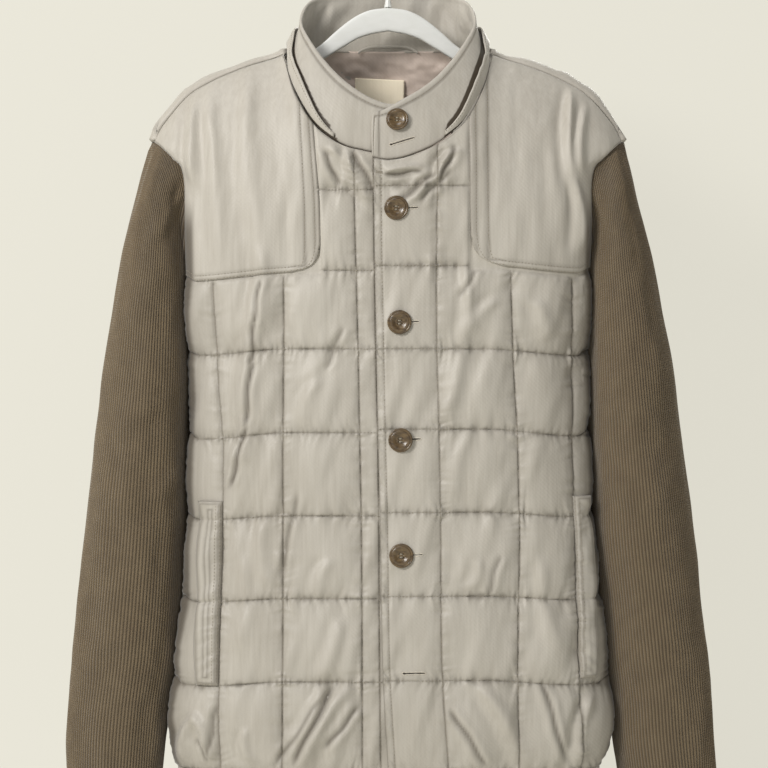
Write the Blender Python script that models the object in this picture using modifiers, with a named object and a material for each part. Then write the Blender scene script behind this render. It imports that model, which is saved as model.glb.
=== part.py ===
"""A quilted jacket with rib-knit sleeves, hanging on a plain hanger.

The front faces -Y, the wearer's left side lies at +X, and the origin is the inside crown of the hook.
Tables and sizes are in millimetres; meshes are made in metres. "out" is the distance from the centre line
towards the side that is being built, so one table serves both sides.
"""

import math

import bpy
import numpy as np
from mathutils.bvhtree import BVHTree

MM = 0.001
RIGHT, LEFT = -1, 1  # the wearer's sides, as the sign of X
FRONT, BACK = -1, 1  # as the sign of Y

SEAM_GAP = 0.3
CURVED_SEAM_GAP = 1.2  # between edges whose points don't match, so that their chords stay clear
EDGE_SLANT = 1.8  # a wall's inner edge lies this far back from the seam
ARMHOLE_SLANT = 6.5  # the same on the body at the armhole, where the inner edge has fewer points
SHELL_WALL = 2.5
KNIT_WALL = 2.6
LAID_ON_WALL = 1.8
QUILT_CROWN = 6.0
PLACKET_CROWN = 2.0
RIB_HEIGHT = 1.2
RIBS = 62
SECTION_POWER = 2.8  # the body's plan: 2 is an ellipse, more is squarer
SHOULDER_FALL = 190.0  # how far below the ridge the body reaches its full depth
OVERLAP_LIFT = 3.4  # the buttoned front stands this far over the one under it
HEM = -832.0
HEM_BAND = 47.0
UNDER_LAP = 2.9  # degrees that the hem band's under end runs past the centre
UNDERARM = -420.0
NECK_OUT = 103.0
BACK_NECK = -119.0
NECK_DIP = 6.0  # the back's last level row lies this far below its neckline
CUFF = -870.0
UNDERARM_OUT, CORNER_FORE = 198.0, 34.0  # the armhole at the underarm, and at its front corner
ARMHOLE_CORNER = 35.0  # degrees round the armhole, from the underarm
SHOULDER_END = 140.0  # where the shoulder seam meets the armhole


def table(columns, *rows):
    """A table as a dictionary that holds one array for each named column."""
    return dict(zip(columns.split(), np.array(rows, float).T))


def read(rows, key, column, where):
    """A column's value at `where` along the key column, on a smooth curve through the rows."""
    x, y = rows[key], rows[column]
    slope = np.gradient(y, x)
    where = np.clip(where, x[0], x[-1])
    i = np.clip(np.searchsorted(x, where) - 1, 0, len(x) - 2)
    step = x[i + 1] - x[i]
    t = (where - x[i]) / step
    start = (1 + 2 * t) * (1 - t) ** 2 * y[i] + t * (1 - t) ** 2 * step * slope[i]
    return start + t * t * (3 - 2 * t) * y[i + 1] + t * t * (t - 1) * step * slope[i + 1]


RIDGE = table(
    "out z",
    (0, -55),
    (50, -70),
    (85, -100),
    (103, -119.5),
    (145, -135),
    (178, -148),
    (200, -161),
    (214, -177),
    (226, -194),
    (236, -213),
)
NECKLINE = table(
    "out z",
    (0, -231),
    (14, -229),
    (43, -222),
    (60, -212),
    (73, -200),
    (86, -179),
    (95, -158),
    (103, -128),
)
SHOULDER_SEAM = table(
    "out z",
    (103, -128),
    (148, -143),
    (177, -156.5),
    (198, -170),
    (214, -188),
    (225, -203),
    (230, -214.5),
)
BODY = table(
    "z right left front back",
    (-882, 209, 210, 66, 56),
    (-834, 211, 212, 70, 60),
    (-810, 213.5, 217, 73, 63),
    (-776, 215.5, 220.5, 75, 65),
    (-736, 210.5, 217, 75, 65),
    (-687, 205.5, 212.5, 75, 65),
    (-628, 200, 205, 74, 64),
    (-520, 197, 199.5, 74, 64),
    (-450, 195.5, 196.5, 74, 64),
    (-420, 198, 198, 73, 63),
    (-250, 198, 198, 72, 62),
    (-50, 198, 198, 72, 62),
)
# Half of the armhole, from the underarm round to the shoulder's end. "across" is the way from the body to
# the sleeve: 0 is straight out, 90 is straight down.
ARMHOLE = table(
    "angle out fore z across",
    (0, 198, 0, -420, 0),
    (10, 198, 13, -385, 0),
    (20, 198, 24, -330, 0),
    (35, 198.5, 34, -263, 10),
    (50, 201, 37, -243, 45),
    (75, 210, 37, -231, 65),
    (100, 218, 34, -223, 72),
    (125, 226, 27, -217, 75),
    (150, 232, 16, -214, 75),
    (180, 236, 0, -213, 75),
)
SLEEVE = table(
    "z right_outer right_inner left_outer left_inner depth",
    (-870, 319, 230, 330, 236, 33),
    (-810, 320, 223, 325.5, 226, 37),
    (-740, 315, 215.5, 320, 221.5, 42),
    (-670, 309, 209.5, 312, 215, 47),
    (-600, 302, 205, 303.5, 208, 52),
    (-520, 293.5, 202.5, 292.5, 204.5, 56),
    (-420, 280.5, 201.5, 279, 201.5, 58),
    (-340, 266.5, 201.5, 264, 201, 55),
    (-290, 256, 201, 252, 200.5, 51),
    (-250, 245.5, 199.5, 243.5, 199.5, 46),
    (-213, 238, 198, 236, 198, 38),
)
# Quilt seams that run down the fronts, as distances from the centre line, and those that run across them.
FRONT_SEAMS = {
    RIGHT: table(
        "z edge first second third",
        (-832, 7, 25, 103, 164),
        (-744, 8, 25, 102.5, 165),
        (-582, 9, 26, 102, 161),
        (-500, 10, 27.5, 102, 162),
        (-420, 12, 29, 101.5, 168),
        (-343, 13, 31, 101.5, 171),
        (-265, 14, 33, 101, 171),
    ),
    LEFT: table(
        "z edge first second third",
        (-832, 0, 59, 128, 190),
        (-744, -5, 53, 126.5, 187),
        (-582, -8, 51, 128, 182),
        (-500, -10, 49.5, 126, 181),
        (-420, -11.5, 47.5, 122, 180.5),
        (-343, -13, 47, 119.5, 180.5),
        (-265, -14, 48, 118, 180.5),
    ),
}
FRONT_ROWS = {
    RIGHT: (-265.0, -343.5, UNDERARM, -501.5, -582.5, -663.0, -744.0, HEM),
    LEFT: (-261.0, -339.0, UNDERARM, -498.0, -579.0, -660.5, -742.5, HEM),
}
FRONT_EDGE = {RIGHT: -25.0, LEFT: None}  # the front underneath goes on past its last seam
BACK_MIDDLE = (0.0, 18.0)  # columns of the back's middle cell, on each side of the centre line
BACK_SEAMS = (34.0, 103.0, 172.0)
BACK_ROWS = (-341.0, UNDERARM, -500.0, -581.0, -662.0, -743.0, HEM)
BACK_PLAIN_ROWS = (-302.0, -263.0)  # rows under the back yoke, where nothing is quilted
CELL_STEPS = (0.0, 0.15, 0.45, 0.82)  # columns inside a quilted cell
CELL_RISE = (0.0, 0.7, 1.0, 0.75)
BACK_MIDDLE_RISE = (1.0, 0.75)
ROW_STEPS = (0.0, 0.12, 0.5, 0.88)
ROW_RISE = (0.0, 0.65, 1.0, 0.65)
UPPER_STEPS = (0.0, 0.2, 0.45, 0.75, 1.0)  # rows between the first cross seam and the shoulder
YOKE_COLUMN = {RIGHT: 6, LEFT: 6}
YOKE_FOOT = {RIGHT: 1, LEFT: 0}  # rows below the second cross seam
WELT_ROWS = slice(4, 14)  # from the lowest cross seam but one up to just above the third
WELT_COLUMNS = {RIGHT: slice(12, 15), LEFT: slice(12, 15)}  # from the last seam outwards
WELT_WALL = 2.0
# How far the cross seams hang down towards the sides.
DROOP = table(
    "z fall",
    (-832, 0),
    (-744, 6),
    (-663, 5),
    (-582, 5),
    (-500, 7),
    (-420, 6),
    (-262, 7),
)
DROOP_START, DROOP_WAY = 95.0, 90.0
SIDE_HOLD = 12.0  # the side seam holds them up over this way
# The largest folds: soft ridges along a line, each with a trough beside it.
FRONT_FOLDS = table(
    "x0 z0 x1 z1 width height",
    (-177, -178, -169, -335, 13, 3),
    (-138, -165, -124, -324, 14, 2.6),
    (-124, -324, -129, -420, 14, 3.2),
    (-129, -420, -148, -533, 13, 3.2),
    (-148, -533, -162, -590, 12, 2.6),
    (180, -180, 184, -262, 11, 3.6),
    (184, -262, 186, -335, 11, 3),
    (74, -335, 62, -489, 12, 2.4),
    (-37, -747, -86, -826, 13, 3.4),
    (89, -747, 133, -824, 14, 3.4),
    (-50, -232, -38, -285, 10, 2.4),
    (65, -232, 50, -262, 11, 2.6),
)
BACK_FOLDS = table(
    "x0 z0 x1 z1 width height",
    (150, -170, 132, -330, 15, 2.8),
    (-148, -172, -128, -340, 15, 2.8),
    (118, -345, 128, -470, 14, 3),
    (-112, -350, -134, -520, 14, 3),
    (20, -190, 34, -310, 16, 2.2),
    (-66, -590, -80, -656, 14, 2.2),
    (140, -590, 150, -690, 14, 2.4),
    (40, -750, 84, -826, 14, 3.4),
    (-40, -752, -92, -826, 14, 3.4),
)


def unit(vectors):
    """The vectors at length 1."""
    return vectors / np.maximum(np.linalg.norm(vectors, axis=-1, keepdims=True), 1e-9)


def normals(grid):
    """The outward normal at each point of a grid whose rows run upwards and columns to +X on the outside."""
    along = np.gradient(grid, axis=1)
    up = np.gradient(grid, axis=0)
    return unit(np.cross(along, up))


def shoulder(depth_below):
    """The share of the full depth that the body has at a depth below its ridge, on a quarter ellipse."""
    t = np.clip(depth_below / SHOULDER_FALL, 0, 1)
    return np.sqrt(np.clip(1 - (1 - t) ** 2, 0, 1))


def side_name(side):
    """The word for a side, as the tables and node names have it."""
    return "left" if side == LEFT else "right"


def armhole(side, face, angle):
    """Points of the armhole at angles from the underarm, on the front or the back half."""
    out = read(ARMHOLE, "angle", "out", angle)
    fore = read(ARMHOLE, "angle", "fore", angle)
    z = read(ARMHOLE, "angle", "z", angle)
    return np.stack([side * out, face * fore, z], -1)


def armhole_angle(z):
    """The angle round the lower armhole at a height, below its front corner."""
    angles = np.linspace(0, ARMHOLE_CORNER, 60)
    return np.interp(z, read(ARMHOLE, "angle", "z", angles), angles)


def row_end(side, face, z, angle):
    """Where a row of the body ends: at the side seam, or on the armhole."""
    if angle is not None:
        return armhole(side, face, angle)
    if z > UNDERARM:
        return armhole(side, face, armhole_angle(z))
    half = read(BODY, "z", side_name(side), z)
    return np.array([side * half, face * SEAM_GAP / 2, z])


def body_row(side, face, out, z, end):
    """A row's points at distances `out` from the centre line, on a superellipse that meets the row's end."""
    reach = abs(end[0])
    share = np.clip(np.abs(out) / reach, 0, 1)
    depth = read(BODY, "z", "front" if face == FRONT else "back", z)
    depth = depth * shoulder(read(RIDGE, "out", "z", np.abs(out)) - z)
    bulge = (1 - share**SECTION_POWER) ** (1 / SECTION_POWER)
    y = face * (abs(end[1]) + (depth - abs(end[1])) * bulge)
    return np.stack([side * out, y, z + 0 * out], -1)


def last_cell(seam, reach, steps):
    """Distances from the last seam to the row's end, even along the curve of the superellipse."""
    start = np.arccos(np.clip(seam / reach, 0, 1) ** (SECTION_POWER / 2))
    turn = start * (1 - np.array(steps))
    return reach * np.cos(turn) ** (2 / SECTION_POWER)


def cells(edges, steps):
    """Places at the steps of each cell between neighbouring edges, and the last edge."""
    edges = np.array(edges, float)
    inner = [a + (b - a) * np.array(steps) for a, b in zip(edges[:-1], edges[1:])]
    return np.concatenate(inner + [edges[-1:]])


def ease(t):
    """An even change from 0 to 1, flat past both ends."""
    t = np.clip(t, 0, 1)
    return t * t * (3 - 2 * t)


def settle(out, z, reach):
    """How far a cross seam hangs below its height at the middle; the side seam holds its end up."""
    fall = read(DROOP, "z", "fall", z) * ease((np.abs(out) - DROOP_START) / DROOP_WAY)
    return fall * (1 - ease((np.abs(out) - reach + SIDE_HOLD) / SIDE_HOLD))


def fold_relief(folds, x, z):
    """The height that folds give a surface: for each, a soft ridge with half as deep a trough beside it."""
    relief = 0 * x
    for x0, z0, x1, z1, width, height in zip(*folds.values()):
        length = math.hypot(x1 - x0, z1 - z0)
        way = ((x1 - x0) / length, (z1 - z0) / length)
        along = ((x - x0) * way[0] + (z - z0) * way[1]) / length
        off = ((x - x0) * way[1] - (z - z0) * way[0]) / width
        taper = ease((along + 0.12) / 0.3) * ease((1.12 - along) / 0.35)
        relief = relief + height * taper * (np.exp(-(off**2)) - 0.5 * np.exp(-((off - 1.7) ** 2)))
    relief[[0, -1]] = 0
    relief[:, [0, -1]] = 0
    return relief


def top_edge(out):
    """The height of the front's top edge: the neckline, and past it the shoulder seam."""
    neck = read(NECKLINE, "out", "z", np.abs(out))
    return np.where(np.abs(out) < NECK_OUT, neck, read(SHOULDER_SEAM, "out", "z", out))


def front_grid(side):
    """The outer surface of one front: rows from the hem up, columns from the centre out, and the quilting."""
    seams, rows = FRONT_SEAMS[side], FRONT_ROWS[side]
    levels = [(z, 0.0) for z in cells(rows[::-1], ROW_STEPS)]
    levels += [(rows[0], w) for w in UPPER_STEPS[1:]]
    grid = []
    for z, w in levels:
        angle = ARMHOLE_CORNER + (SHOULDER_END - ARMHOLE_CORNER) * w if w > 0 else None
        end = row_end(side, FRONT, z, angle)
        places = np.array([float(read(seams, "z", name, z)) for name in ("edge", "first", "second", "third")])
        out = cells(places, CELL_STEPS)
        if FRONT_EDGE[side] is not None:
            out = np.concatenate([[FRONT_EDGE[side], places[0]], cells(places[1:], CELL_STEPS)])
            out = np.insert(out, 2, (places[0] + places[1]) / 2)
            out = np.insert(out, 1, (FRONT_EDGE[side] + places[0]) / 2)
        out = np.concatenate([out, last_cell(places[-1], abs(end[0]), CELL_STEPS + (1.0,))[1:]])
        height = z + w * (top_edge(out) - z) - (1 - w) * settle(out, z, abs(end[0]))
        miss = end[2] - height[-1]
        height = height + miss * np.clip(out / abs(end[0]), 0, 1) ** 6
        row = body_row(side, FRONT, out, height, end)
        row[-1] = end
        grid.append(row)
    return np.array(grid)


def front_crown(side, shape):
    """How far the quilting rises at each point of a front."""
    across = np.array(CELL_RISE * 4 + (0.0,))
    if side == RIGHT:
        across = np.concatenate([[0.0] * 4, CELL_RISE * 3, [0.0]])
    else:
        across[:4] *= PLACKET_CROWN / QUILT_CROWN
    up = np.array(ROW_RISE * (len(FRONT_ROWS[side]) - 1) + (0.0, 0.6, 0.7, 0.5, 0.0))
    crown = QUILT_CROWN * np.outer(up, across)
    crown[yoke_foot_row(side, shape[0]) :, YOKE_COLUMN[side] :] = 0
    return crown


def yoke_foot_row(side, rows):
    """The row of a front's grid along which its yoke ends."""
    return rows - len(UPPER_STEPS) - len(ROW_STEPS) - YOKE_FOOT[side]


def across_armhole(side, angle):
    """The way from the body to the sleeve at an angle round the armhole."""
    turn = np.radians(read(ARMHOLE, "angle", "across", angle))
    return np.stack([side * np.cos(turn), 0 * turn, -np.sin(turn)], -1)


def clear_of(direction, way):
    """A wall's normal turned so that its inner edge doesn't lean past the seam in the direction `way`."""
    lean = np.minimum(np.sum(direction * way, -1, keepdims=True), 0)
    return unit(direction - lean * way)


def ridge_normal(out, z, side):
    """The outward normal beside the shoulder seam, which both pieces share."""
    step = 2.0
    depth = read(BODY, "z", "front", z)
    near = shoulder(read(RIDGE, "out", "z", out) - z) * depth
    below = shoulder(read(RIDGE, "out", "z", out) - z + step) * depth
    slope = (below - near) / step
    return unit(np.stack([0 * out, -1 + 0 * out, slope], -1))


def body_edges(grid, normal, side, face, column):
    """Settle a body grid's normals at the side seam and the armhole, and draw its edge back by half a gap."""
    for j in range(len(grid)):
        point = grid[j, column]
        if point[2] <= UNDERARM + 1:
            normal[j, column] = (side, 0, 0)
            continue
        angle = armhole_of(point)
        way = across_armhole(side, angle)
        normal[j, column] = clear_of(normal[j, column], way)
        grid[j, column] = point - way * CURVED_SEAM_GAP / 2


def slant_armhole(inner, grid, side, column):
    """Draw a body wall's inner edge back from the armhole's seam."""
    for j in range(len(grid)):
        if grid[j, column, 2] > UNDERARM + 1:
            inner[j, column] -= across_armhole(side, armhole_of(grid[j, column])) * ARMHOLE_SLANT


def armhole_of(point):
    """The angle of the armhole's point nearest to a point on it."""
    angles = np.linspace(0, 180, 361)
    face = BACK if point[1] > 0 else FRONT
    ring = armhole(1 if point[0] > 0 else -1, face, angles)
    return angles[np.argmin(np.linalg.norm(ring - point, axis=1))]


def back_grid():
    """The outer surface of the back, from the hem up and over the ridge to the shoulder seams."""
    levels = [(z, 0.0) for z in back_levels()]
    levels += [(BACK_PLAIN_ROWS[-1], w) for w in UPPER_STEPS[1:]]
    rows = []
    for z, w in levels:
        halves = []
        for side in (RIGHT, LEFT):
            angle = ARMHOLE_CORNER + (180 - ARMHOLE_CORNER) * w if w > 0 else None
            end = row_end(side, BACK, z, angle)
            outermost = last_cell(BACK_SEAMS[-1], abs(end[0]), CELL_STEPS + (1.0,))[1:]
            out = np.concatenate([BACK_MIDDLE, cells(BACK_SEAMS, CELL_STEPS), outermost])
            top = np.where(out < NECK_OUT, BACK_NECK - NECK_DIP, read(RIDGE, "out", "z", out))
            height = z + w * (top - z) - (1 - w) * settle(out, z, abs(end[0]))
            miss = end[2] - height[-1]
            height = height + miss * np.clip(out / abs(end[0]), 0, 1) ** 6
            half = body_row(side, BACK, out, height, end)
            half[-1] = end
            halves.append(half)
        rows.append(np.concatenate([halves[0][:0:-1], halves[1]]))
    rows += over_the_ridge(np.array(rows[-1]))
    return np.array(rows)


def back_levels():
    """The heights of the back's level rows, from the hem up."""
    return np.concatenate([cells(BACK_ROWS[::-1], ROW_STEPS), BACK_PLAIN_ROWS])


def over_the_ridge(top):
    """The two rows that carry the back over the ridge to the front's shoulder seam, or up to the neckline."""
    found = []
    for share, angle in ((0.5, 160.0), (1.0, SHOULDER_END)):
        row = top.copy()
        for i, point in enumerate(top):
            side = LEFT if point[0] > 0 else RIGHT
            out = abs(point[0])
            if out < NECK_OUT - 1:
                z, end = BACK_NECK - NECK_DIP * (1 - share), (side * UNDERARM_OUT, CORNER_FORE, 0)
                row[i] = body_row(side, BACK, np.array([out]), z, end)[0]
                continue
            if i in (0, len(top) - 1):
                row[i] = armhole(side, FRONT, angle)
                continue
            ridge, seam = read(RIDGE, "out", "z", out), float(top_edge(np.array([out]))[0])
            z = ridge + (seam - ridge) * share**2
            end = armhole(side, FRONT, SHOULDER_END)
            out = out + (min(out, abs(end[0]) - 2) - out) * share
            row[i] = body_row(side, FRONT, np.array([out]), z, end)[0]
            row[i, 2] = z
        found.append(row)
    past_neck = np.abs(top[:, 0]) >= NECK_OUT - 1
    found[-1][:, 2] += CURVED_SEAM_GAP * past_neck
    found[-1][:, 0] += 2 * CURVED_SEAM_GAP * past_neck * np.sign(top[:, 0])
    return found


def slab_faces(rows, columns, step):
    """Faces of a closed slab: a fine outer grid, an inner grid of every `step`-th point, and the rims."""
    inner_rows, inner_columns = (rows - 1) // step + 1, (columns - 1) // step + 1
    start = rows * columns
    faces = []
    for j in range(rows - 1):
        for i in range(columns - 1):
            a = j * columns + i
            faces.append((a, a + 1, a + columns + 1, a + columns))
    for j in range(inner_rows - 1):
        for i in range(inner_columns - 1):
            a = start + j * inner_columns + i
            faces.append((a, a + inner_columns, a + inner_columns + 1, a + 1))
    fine = rim(rows, columns, 0)
    coarse = rim(inner_rows, inner_columns, start)
    for k, inner in enumerate(coarse):
        following = coarse[(k + 1) % len(coarse)]
        run = [fine[(k * step + m) % len(fine)] for m in range(step + 1)]
        faces += [(run[m + 1], run[m], inner) for m in range(step)]
        faces.append((inner, following, run[-1]))
    return faces


def rim(rows, columns, start):
    """A grid's border points, anticlockwise from its first corner."""
    bottom = [start + i for i in range(columns)]
    right = [start + j * columns + columns - 1 for j in range(1, rows)]
    top = [start + (rows - 1) * columns + i for i in range(columns - 2, -1, -1)]
    left = [start + j * columns for j in range(rows - 2, 0, -1)]
    return bottom + right + top + left


def tube_faces(rows, columns, step):
    """Faces of a closed tube wall: a fine outer grid that goes round, a coarser inner one, and end rims."""
    inner_columns, start = columns // step, rows * columns
    faces = []
    for j in range(rows - 1):
        for i in range(columns):
            a, b = j * columns + i, j * columns + (i + 1) % columns
            faces.append((a, b, b + columns, a + columns))
        for i in range(inner_columns):
            a = start + j * inner_columns + i
            b = start + j * inner_columns + (i + 1) % inner_columns
            faces.append((a, a + inner_columns, b + inner_columns, b))
    for j, turn in ((0, 1), (rows - 1, -1)):
        for i in range(inner_columns):
            a, b = start + j * inner_columns + i, start + j * inner_columns + (i + 1) % inner_columns
            run = [j * columns + (i * step + m) % columns for m in range(step + 1)]
            fan = [(run[m + 1], run[m], a) for m in range(step)] + [(a, b, run[-1])]
            faces += [face[::turn] for face in fan]
    return faces


MATERIALS = {
    "shell": ((0.52, 0.48, 0.41), 0.45, 0.0),
    "lining": ((0.34, 0.27, 0.24), 0.5, 0.0),
    "knit": ((0.23, 0.17, 0.11), 0.9, 0.0),
    "button": ((0.13, 0.08, 0.045), 0.35, 0.0),
    "hanger": ((0.74, 0.73, 0.68), 0.4, 0.0),
    "label": ((0.66, 0.61, 0.52), 0.8, 0.0),
}


def material(name):
    """One of the part's materials, made the first time it is asked for."""
    found = bpy.data.materials.get(name)
    if found:
        return found
    colour, rough, metal = MATERIALS[name]
    made = bpy.data.materials.new(name)
    made.use_nodes = True
    shader = made.node_tree.nodes["Principled BSDF"]
    shader.inputs["Base Color"].default_value = (*colour, 1)
    shader.inputs["Roughness"].default_value = rough
    shader.inputs["Metallic"].default_value = metal
    return made


def add_mesh(name, points, faces, finish):
    """A named object from points in millimetres."""
    mesh = bpy.data.meshes.new(name)
    mesh.from_pydata((np.asarray(points) * MM).tolist(), [], faces)
    mesh.validate()
    mesh.shade_smooth()
    mesh.set_sharp_from_angle(angle=math.radians(40))
    return add_object(name, mesh, finish)


def add_object(name, data, finish):
    """An object in the jacket's collection, with its material."""
    made = bpy.data.objects.new(name, data)
    data.materials.append(material(finish))
    bpy.data.collections["quilted_jacket"].objects.link(made)
    return made


def add_slab(name, outer, inner, finish, step=1, flip=False):
    """A cloth wall between two surfaces that were worked out on one grid."""
    rows, columns = outer.shape[:2]
    coarse = inner[::step, ::step]
    points = np.concatenate([outer.reshape(-1, 3), coarse.reshape(-1, 3)])
    faces = slab_faces(rows, columns, step)
    if flip:
        faces = [face[::-1] for face in faces]
    return add_mesh(name, points, faces, finish)


def make_front(side):
    """One quilted front, and the outer points, normals and crown that its yoke and welt are made from."""
    grid = front_grid(side)
    normal = normals(grid) * side
    body_edges(grid, normal, side, FRONT, -1)
    normal[-1, 1:-1] = ridge_normal(np.abs(grid[-1, 1:-1, 0]), grid[-1, 1:-1, 2], side)
    lift = np.clip((75 - side * grid[:, :, 0]) / 35, 0, 1) * OVERLAP_LIFT * (side == LEFT)
    lift = lift + fold_relief(FRONT_FOLDS, grid[..., 0], grid[..., 2])
    grid = grid + normal * lift[..., None]
    outer = grid + normal * front_crown(side, grid.shape)[..., None]
    inner = grid - normal * SHELL_WALL
    slant_armhole(inner, grid, side, -1)
    inner[-1, :, 2] -= EDGE_SLANT
    add_slab("front_" + side_name(side), outer, inner, "shell", step=2, flip=side == RIGHT)
    return outer, normal


def laid_on(name, outer, normal, rows, columns, wall=LAID_ON_WALL, flip=False):
    """A plain panel that lies on another: the other's outer points, moved out."""
    base, way = outer[rows, columns], normal[rows, columns]
    return add_slab(name, base + way * (SEAM_GAP + wall), base + way * SEAM_GAP, "shell", flip=flip)


def make_back():
    """The quilted back, with its yoke and the lining that shows inside the neck."""
    grid = back_grid()
    normal = normals(grid) * -1
    body_edges(grid, normal, RIGHT, BACK, 0)
    body_edges(grid, normal, LEFT, BACK, -1)
    past_neck = np.abs(grid[-1, :, 0]) >= NECK_OUT - 1
    past_neck[[0, -1]] = False
    side = np.where(grid[-1, :, 0] > 0, LEFT, RIGHT)
    shared = ridge_normal(np.abs(grid[-1, :, 0]), grid[-1, :, 2] - CURVED_SEAM_GAP, side)
    normal[-1, past_neck] = shared[past_neck]
    half = np.array(BACK_MIDDLE_RISE + CELL_RISE * len(BACK_SEAMS) + (0.0,))
    across = np.concatenate([half[:0:-1], half])
    yoke_row = len(ROW_STEPS) * (len(BACK_ROWS) - 1)
    up = np.array(ROW_RISE * (len(BACK_ROWS) - 1) + (0.0,) * (len(grid) - yoke_row))
    grid = grid + normal * fold_relief(BACK_FOLDS, grid[..., 0], grid[..., 2])[..., None]
    outer = grid + normal * (QUILT_CROWN * np.outer(up, across))[..., None]
    inner = grid - normal * SHELL_WALL
    slant_armhole(inner, grid, RIGHT, 0)
    slant_armhole(inner, grid, LEFT, -1)
    inner[-1, past_neck, 2] += EDGE_SLANT
    inner[-1, past_neck, 1] += EDGE_SLANT
    add_slab("back", outer, inner, "shell", step=2, flip=True)
    laid_on("yoke_back", outer, normal, slice(yoke_row, None), slice(1, -1), flip=True)
    return inner, normal


def sleeve_ring(side, count, angles_front, angles_back):
    """The sleeve's first ring, on the polyline through the body's own armhole points."""
    nodes = np.concatenate([angles_front, 360 - np.array(angles_back)[::-1]])
    points = np.concatenate(
        [armhole(side, FRONT, np.array(angles_front)), armhole(side, BACK, np.array(angles_back)[::-1])]
    )
    nodes = np.append(nodes, 360.0)
    points = np.vstack([points, points[:1]])
    turn = np.arange(count) * 360.0 / count
    ring = np.stack([np.interp(turn, nodes, points[:, k]) for k in range(3)], -1)
    return turn, ring


def make_sleeve(side, front, back):
    """A rib-knit sleeve: ribs run down from the armhole along an oval tube that tapers to the cuff."""
    columns, rows, step = RIBS * 2, 8, 4
    word = side_name(side)
    turn, ring = sleeve_ring(side, columns, front, back)
    radians = np.radians(turn)
    half_turn = np.where(turn > 180, 360 - turn, turn)
    way = across_armhole(side, half_turn)
    ring = ring + way * CURVED_SEAM_GAP / 2

    def oval(z):
        outer = read(SLEEVE, "z", word + "_outer", z)
        inner = read(SLEEVE, "z", word + "_inner", z)
        depth = read(SLEEVE, "z", "depth", z)
        middle, half = (outer + inner) / 2, (outer - inner) / 2
        return np.stack([side * (middle - half * np.cos(radians)), -depth * np.sin(radians)], -1)

    miss = ring[:, :2] - oval(ring[:, 2])
    grid = []
    for k in range(rows):
        share = (k / (rows - 1)) ** 1.15
        z = ring[:, 2] + (CUFF - ring[:, 2]) * share
        fade = np.clip((ring[:, 2] - z) / 45.0, 0, 1)
        fade = 1 - fade * fade * (3 - 2 * fade)
        grid.append(np.column_stack([oval(z) + miss * fade[:, None], z]))
    grid = np.array(grid)
    along = np.roll(grid, -1, axis=1) - np.roll(grid, 1, axis=1)
    normal = unit(np.cross(np.gradient(grid, axis=0), along)) * side
    normal[0] = clear_of(normal[0], -way)
    rib = np.where(np.arange(columns) % 2, RIB_HEIGHT, 0.0)[None, :] * np.ones((rows, 1))
    rib[0] = 0
    outer = grid + normal * rib[..., None]
    inner = grid - normal * KNIT_WALL
    inner[0] += way * EDGE_SLANT
    inner = inner[:, ::step]
    points = np.concatenate([outer.reshape(-1, 3), inner.reshape(-1, 3)])
    faces = tube_faces(rows, columns, step)
    if side == LEFT:
        faces = [face[::-1] for face in faces]
    add_mesh("sleeve_" + word, points, faces, "knit")


COLLAR = table(
    "place foot_out foot_y foot_z top_out top_y top_z bow",
    (-0.14, -20, -69, -226, -17, -65, -178, 2),
    (0, 0, -71, -227, 0, -66, -180, 2),
    (0.16, 30, -69, -222, 25, -63, -170, 2),
    (0.32, 62, -62, -204, 52, -53, -148, 2),
    (0.46, 83, -50, -173, 74, -38, -119, 1.5),
    (0.58, 94.5, -34, -143, 86, -18, -94, -1),
    (0.68, 98.5, -11, -117.5, 83, 4, -76, -4),
    (0.78, 89, 20.5, -116, 72, 22, -65, -3),
    (0.9, 50, 38, -118.2, 42, 36, -59, 1.5),
    (1, 0, 45, -118.4, 0, 41, -57, 2),
)
COLLAR_WALL = 3.0
COLLAR_LAP = 2.6  # half the step between the collar's overlapping ends, along its top
TAB_END, UNDER_END = -0.13, -0.08
FRONTS_END = 0.62  # the collar's place at which it leaves the fronts for the back
BAND_REACH = slice(5, -4)  # the collar's columns that the band runs over
BAND_FOOT, BAND_TALL = 0.03, 0.34  # as shares of the collar's height
BAND_TIP, BAND_TAPER = 0.2, 3.0  # its height at the tips, and the columns over which it grows from there
BAND_WALL = 1.8
BAND_SLOT, BAND_OPENING = 1.2, 3.8  # how far it stands off at its ends, and how much more before the sides
BAND_HUG = 0.8  # the share of that opening which closes round the back


def collar_places(count):
    """Places round the neck from the tab, round the back, to the end underneath, as places on each half."""
    left = np.linspace(TAB_END, 1, count)
    right = np.linspace(1, UNDER_END, count)[1:]
    return left, right


def collar_surface(fronts, rows=5):
    """The collar's middle surface, up from the fronts' own top edges; it bows in over the shoulders."""
    left, right = collar_places(15)
    columns = [(LEFT, p) for p in left] + [(RIGHT, p) for p in right]
    share = np.linspace(0, 1, rows)
    surface = []
    for side, place in columns:
        foot, top = neck_point(side, place, "foot"), neck_point(side, place, "top")
        if place < FRONTS_END:
            foot = on_neckline(fronts[side][-1], foot)
        line = foot + (top - foot) * share[:, None]
        away = unit(np.array([line[:, 0], line[:, 1], 0 * share]).T)
        bow = float(read(COLLAR, "place", "bow", place))
        surface.append(line + away * (bow * np.sin(math.pi * share))[:, None])
    return np.array(surface).transpose(1, 0, 2)


def neck_point(side, place, prefix):
    """A point of the neck on one side; a place below zero lies past the front centre."""
    out, y, z = (float(read(COLLAR, "place", f"{prefix}_{k}", place)) for k in ("out", "y", "z"))
    return np.array([side * out, y, z])


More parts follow.
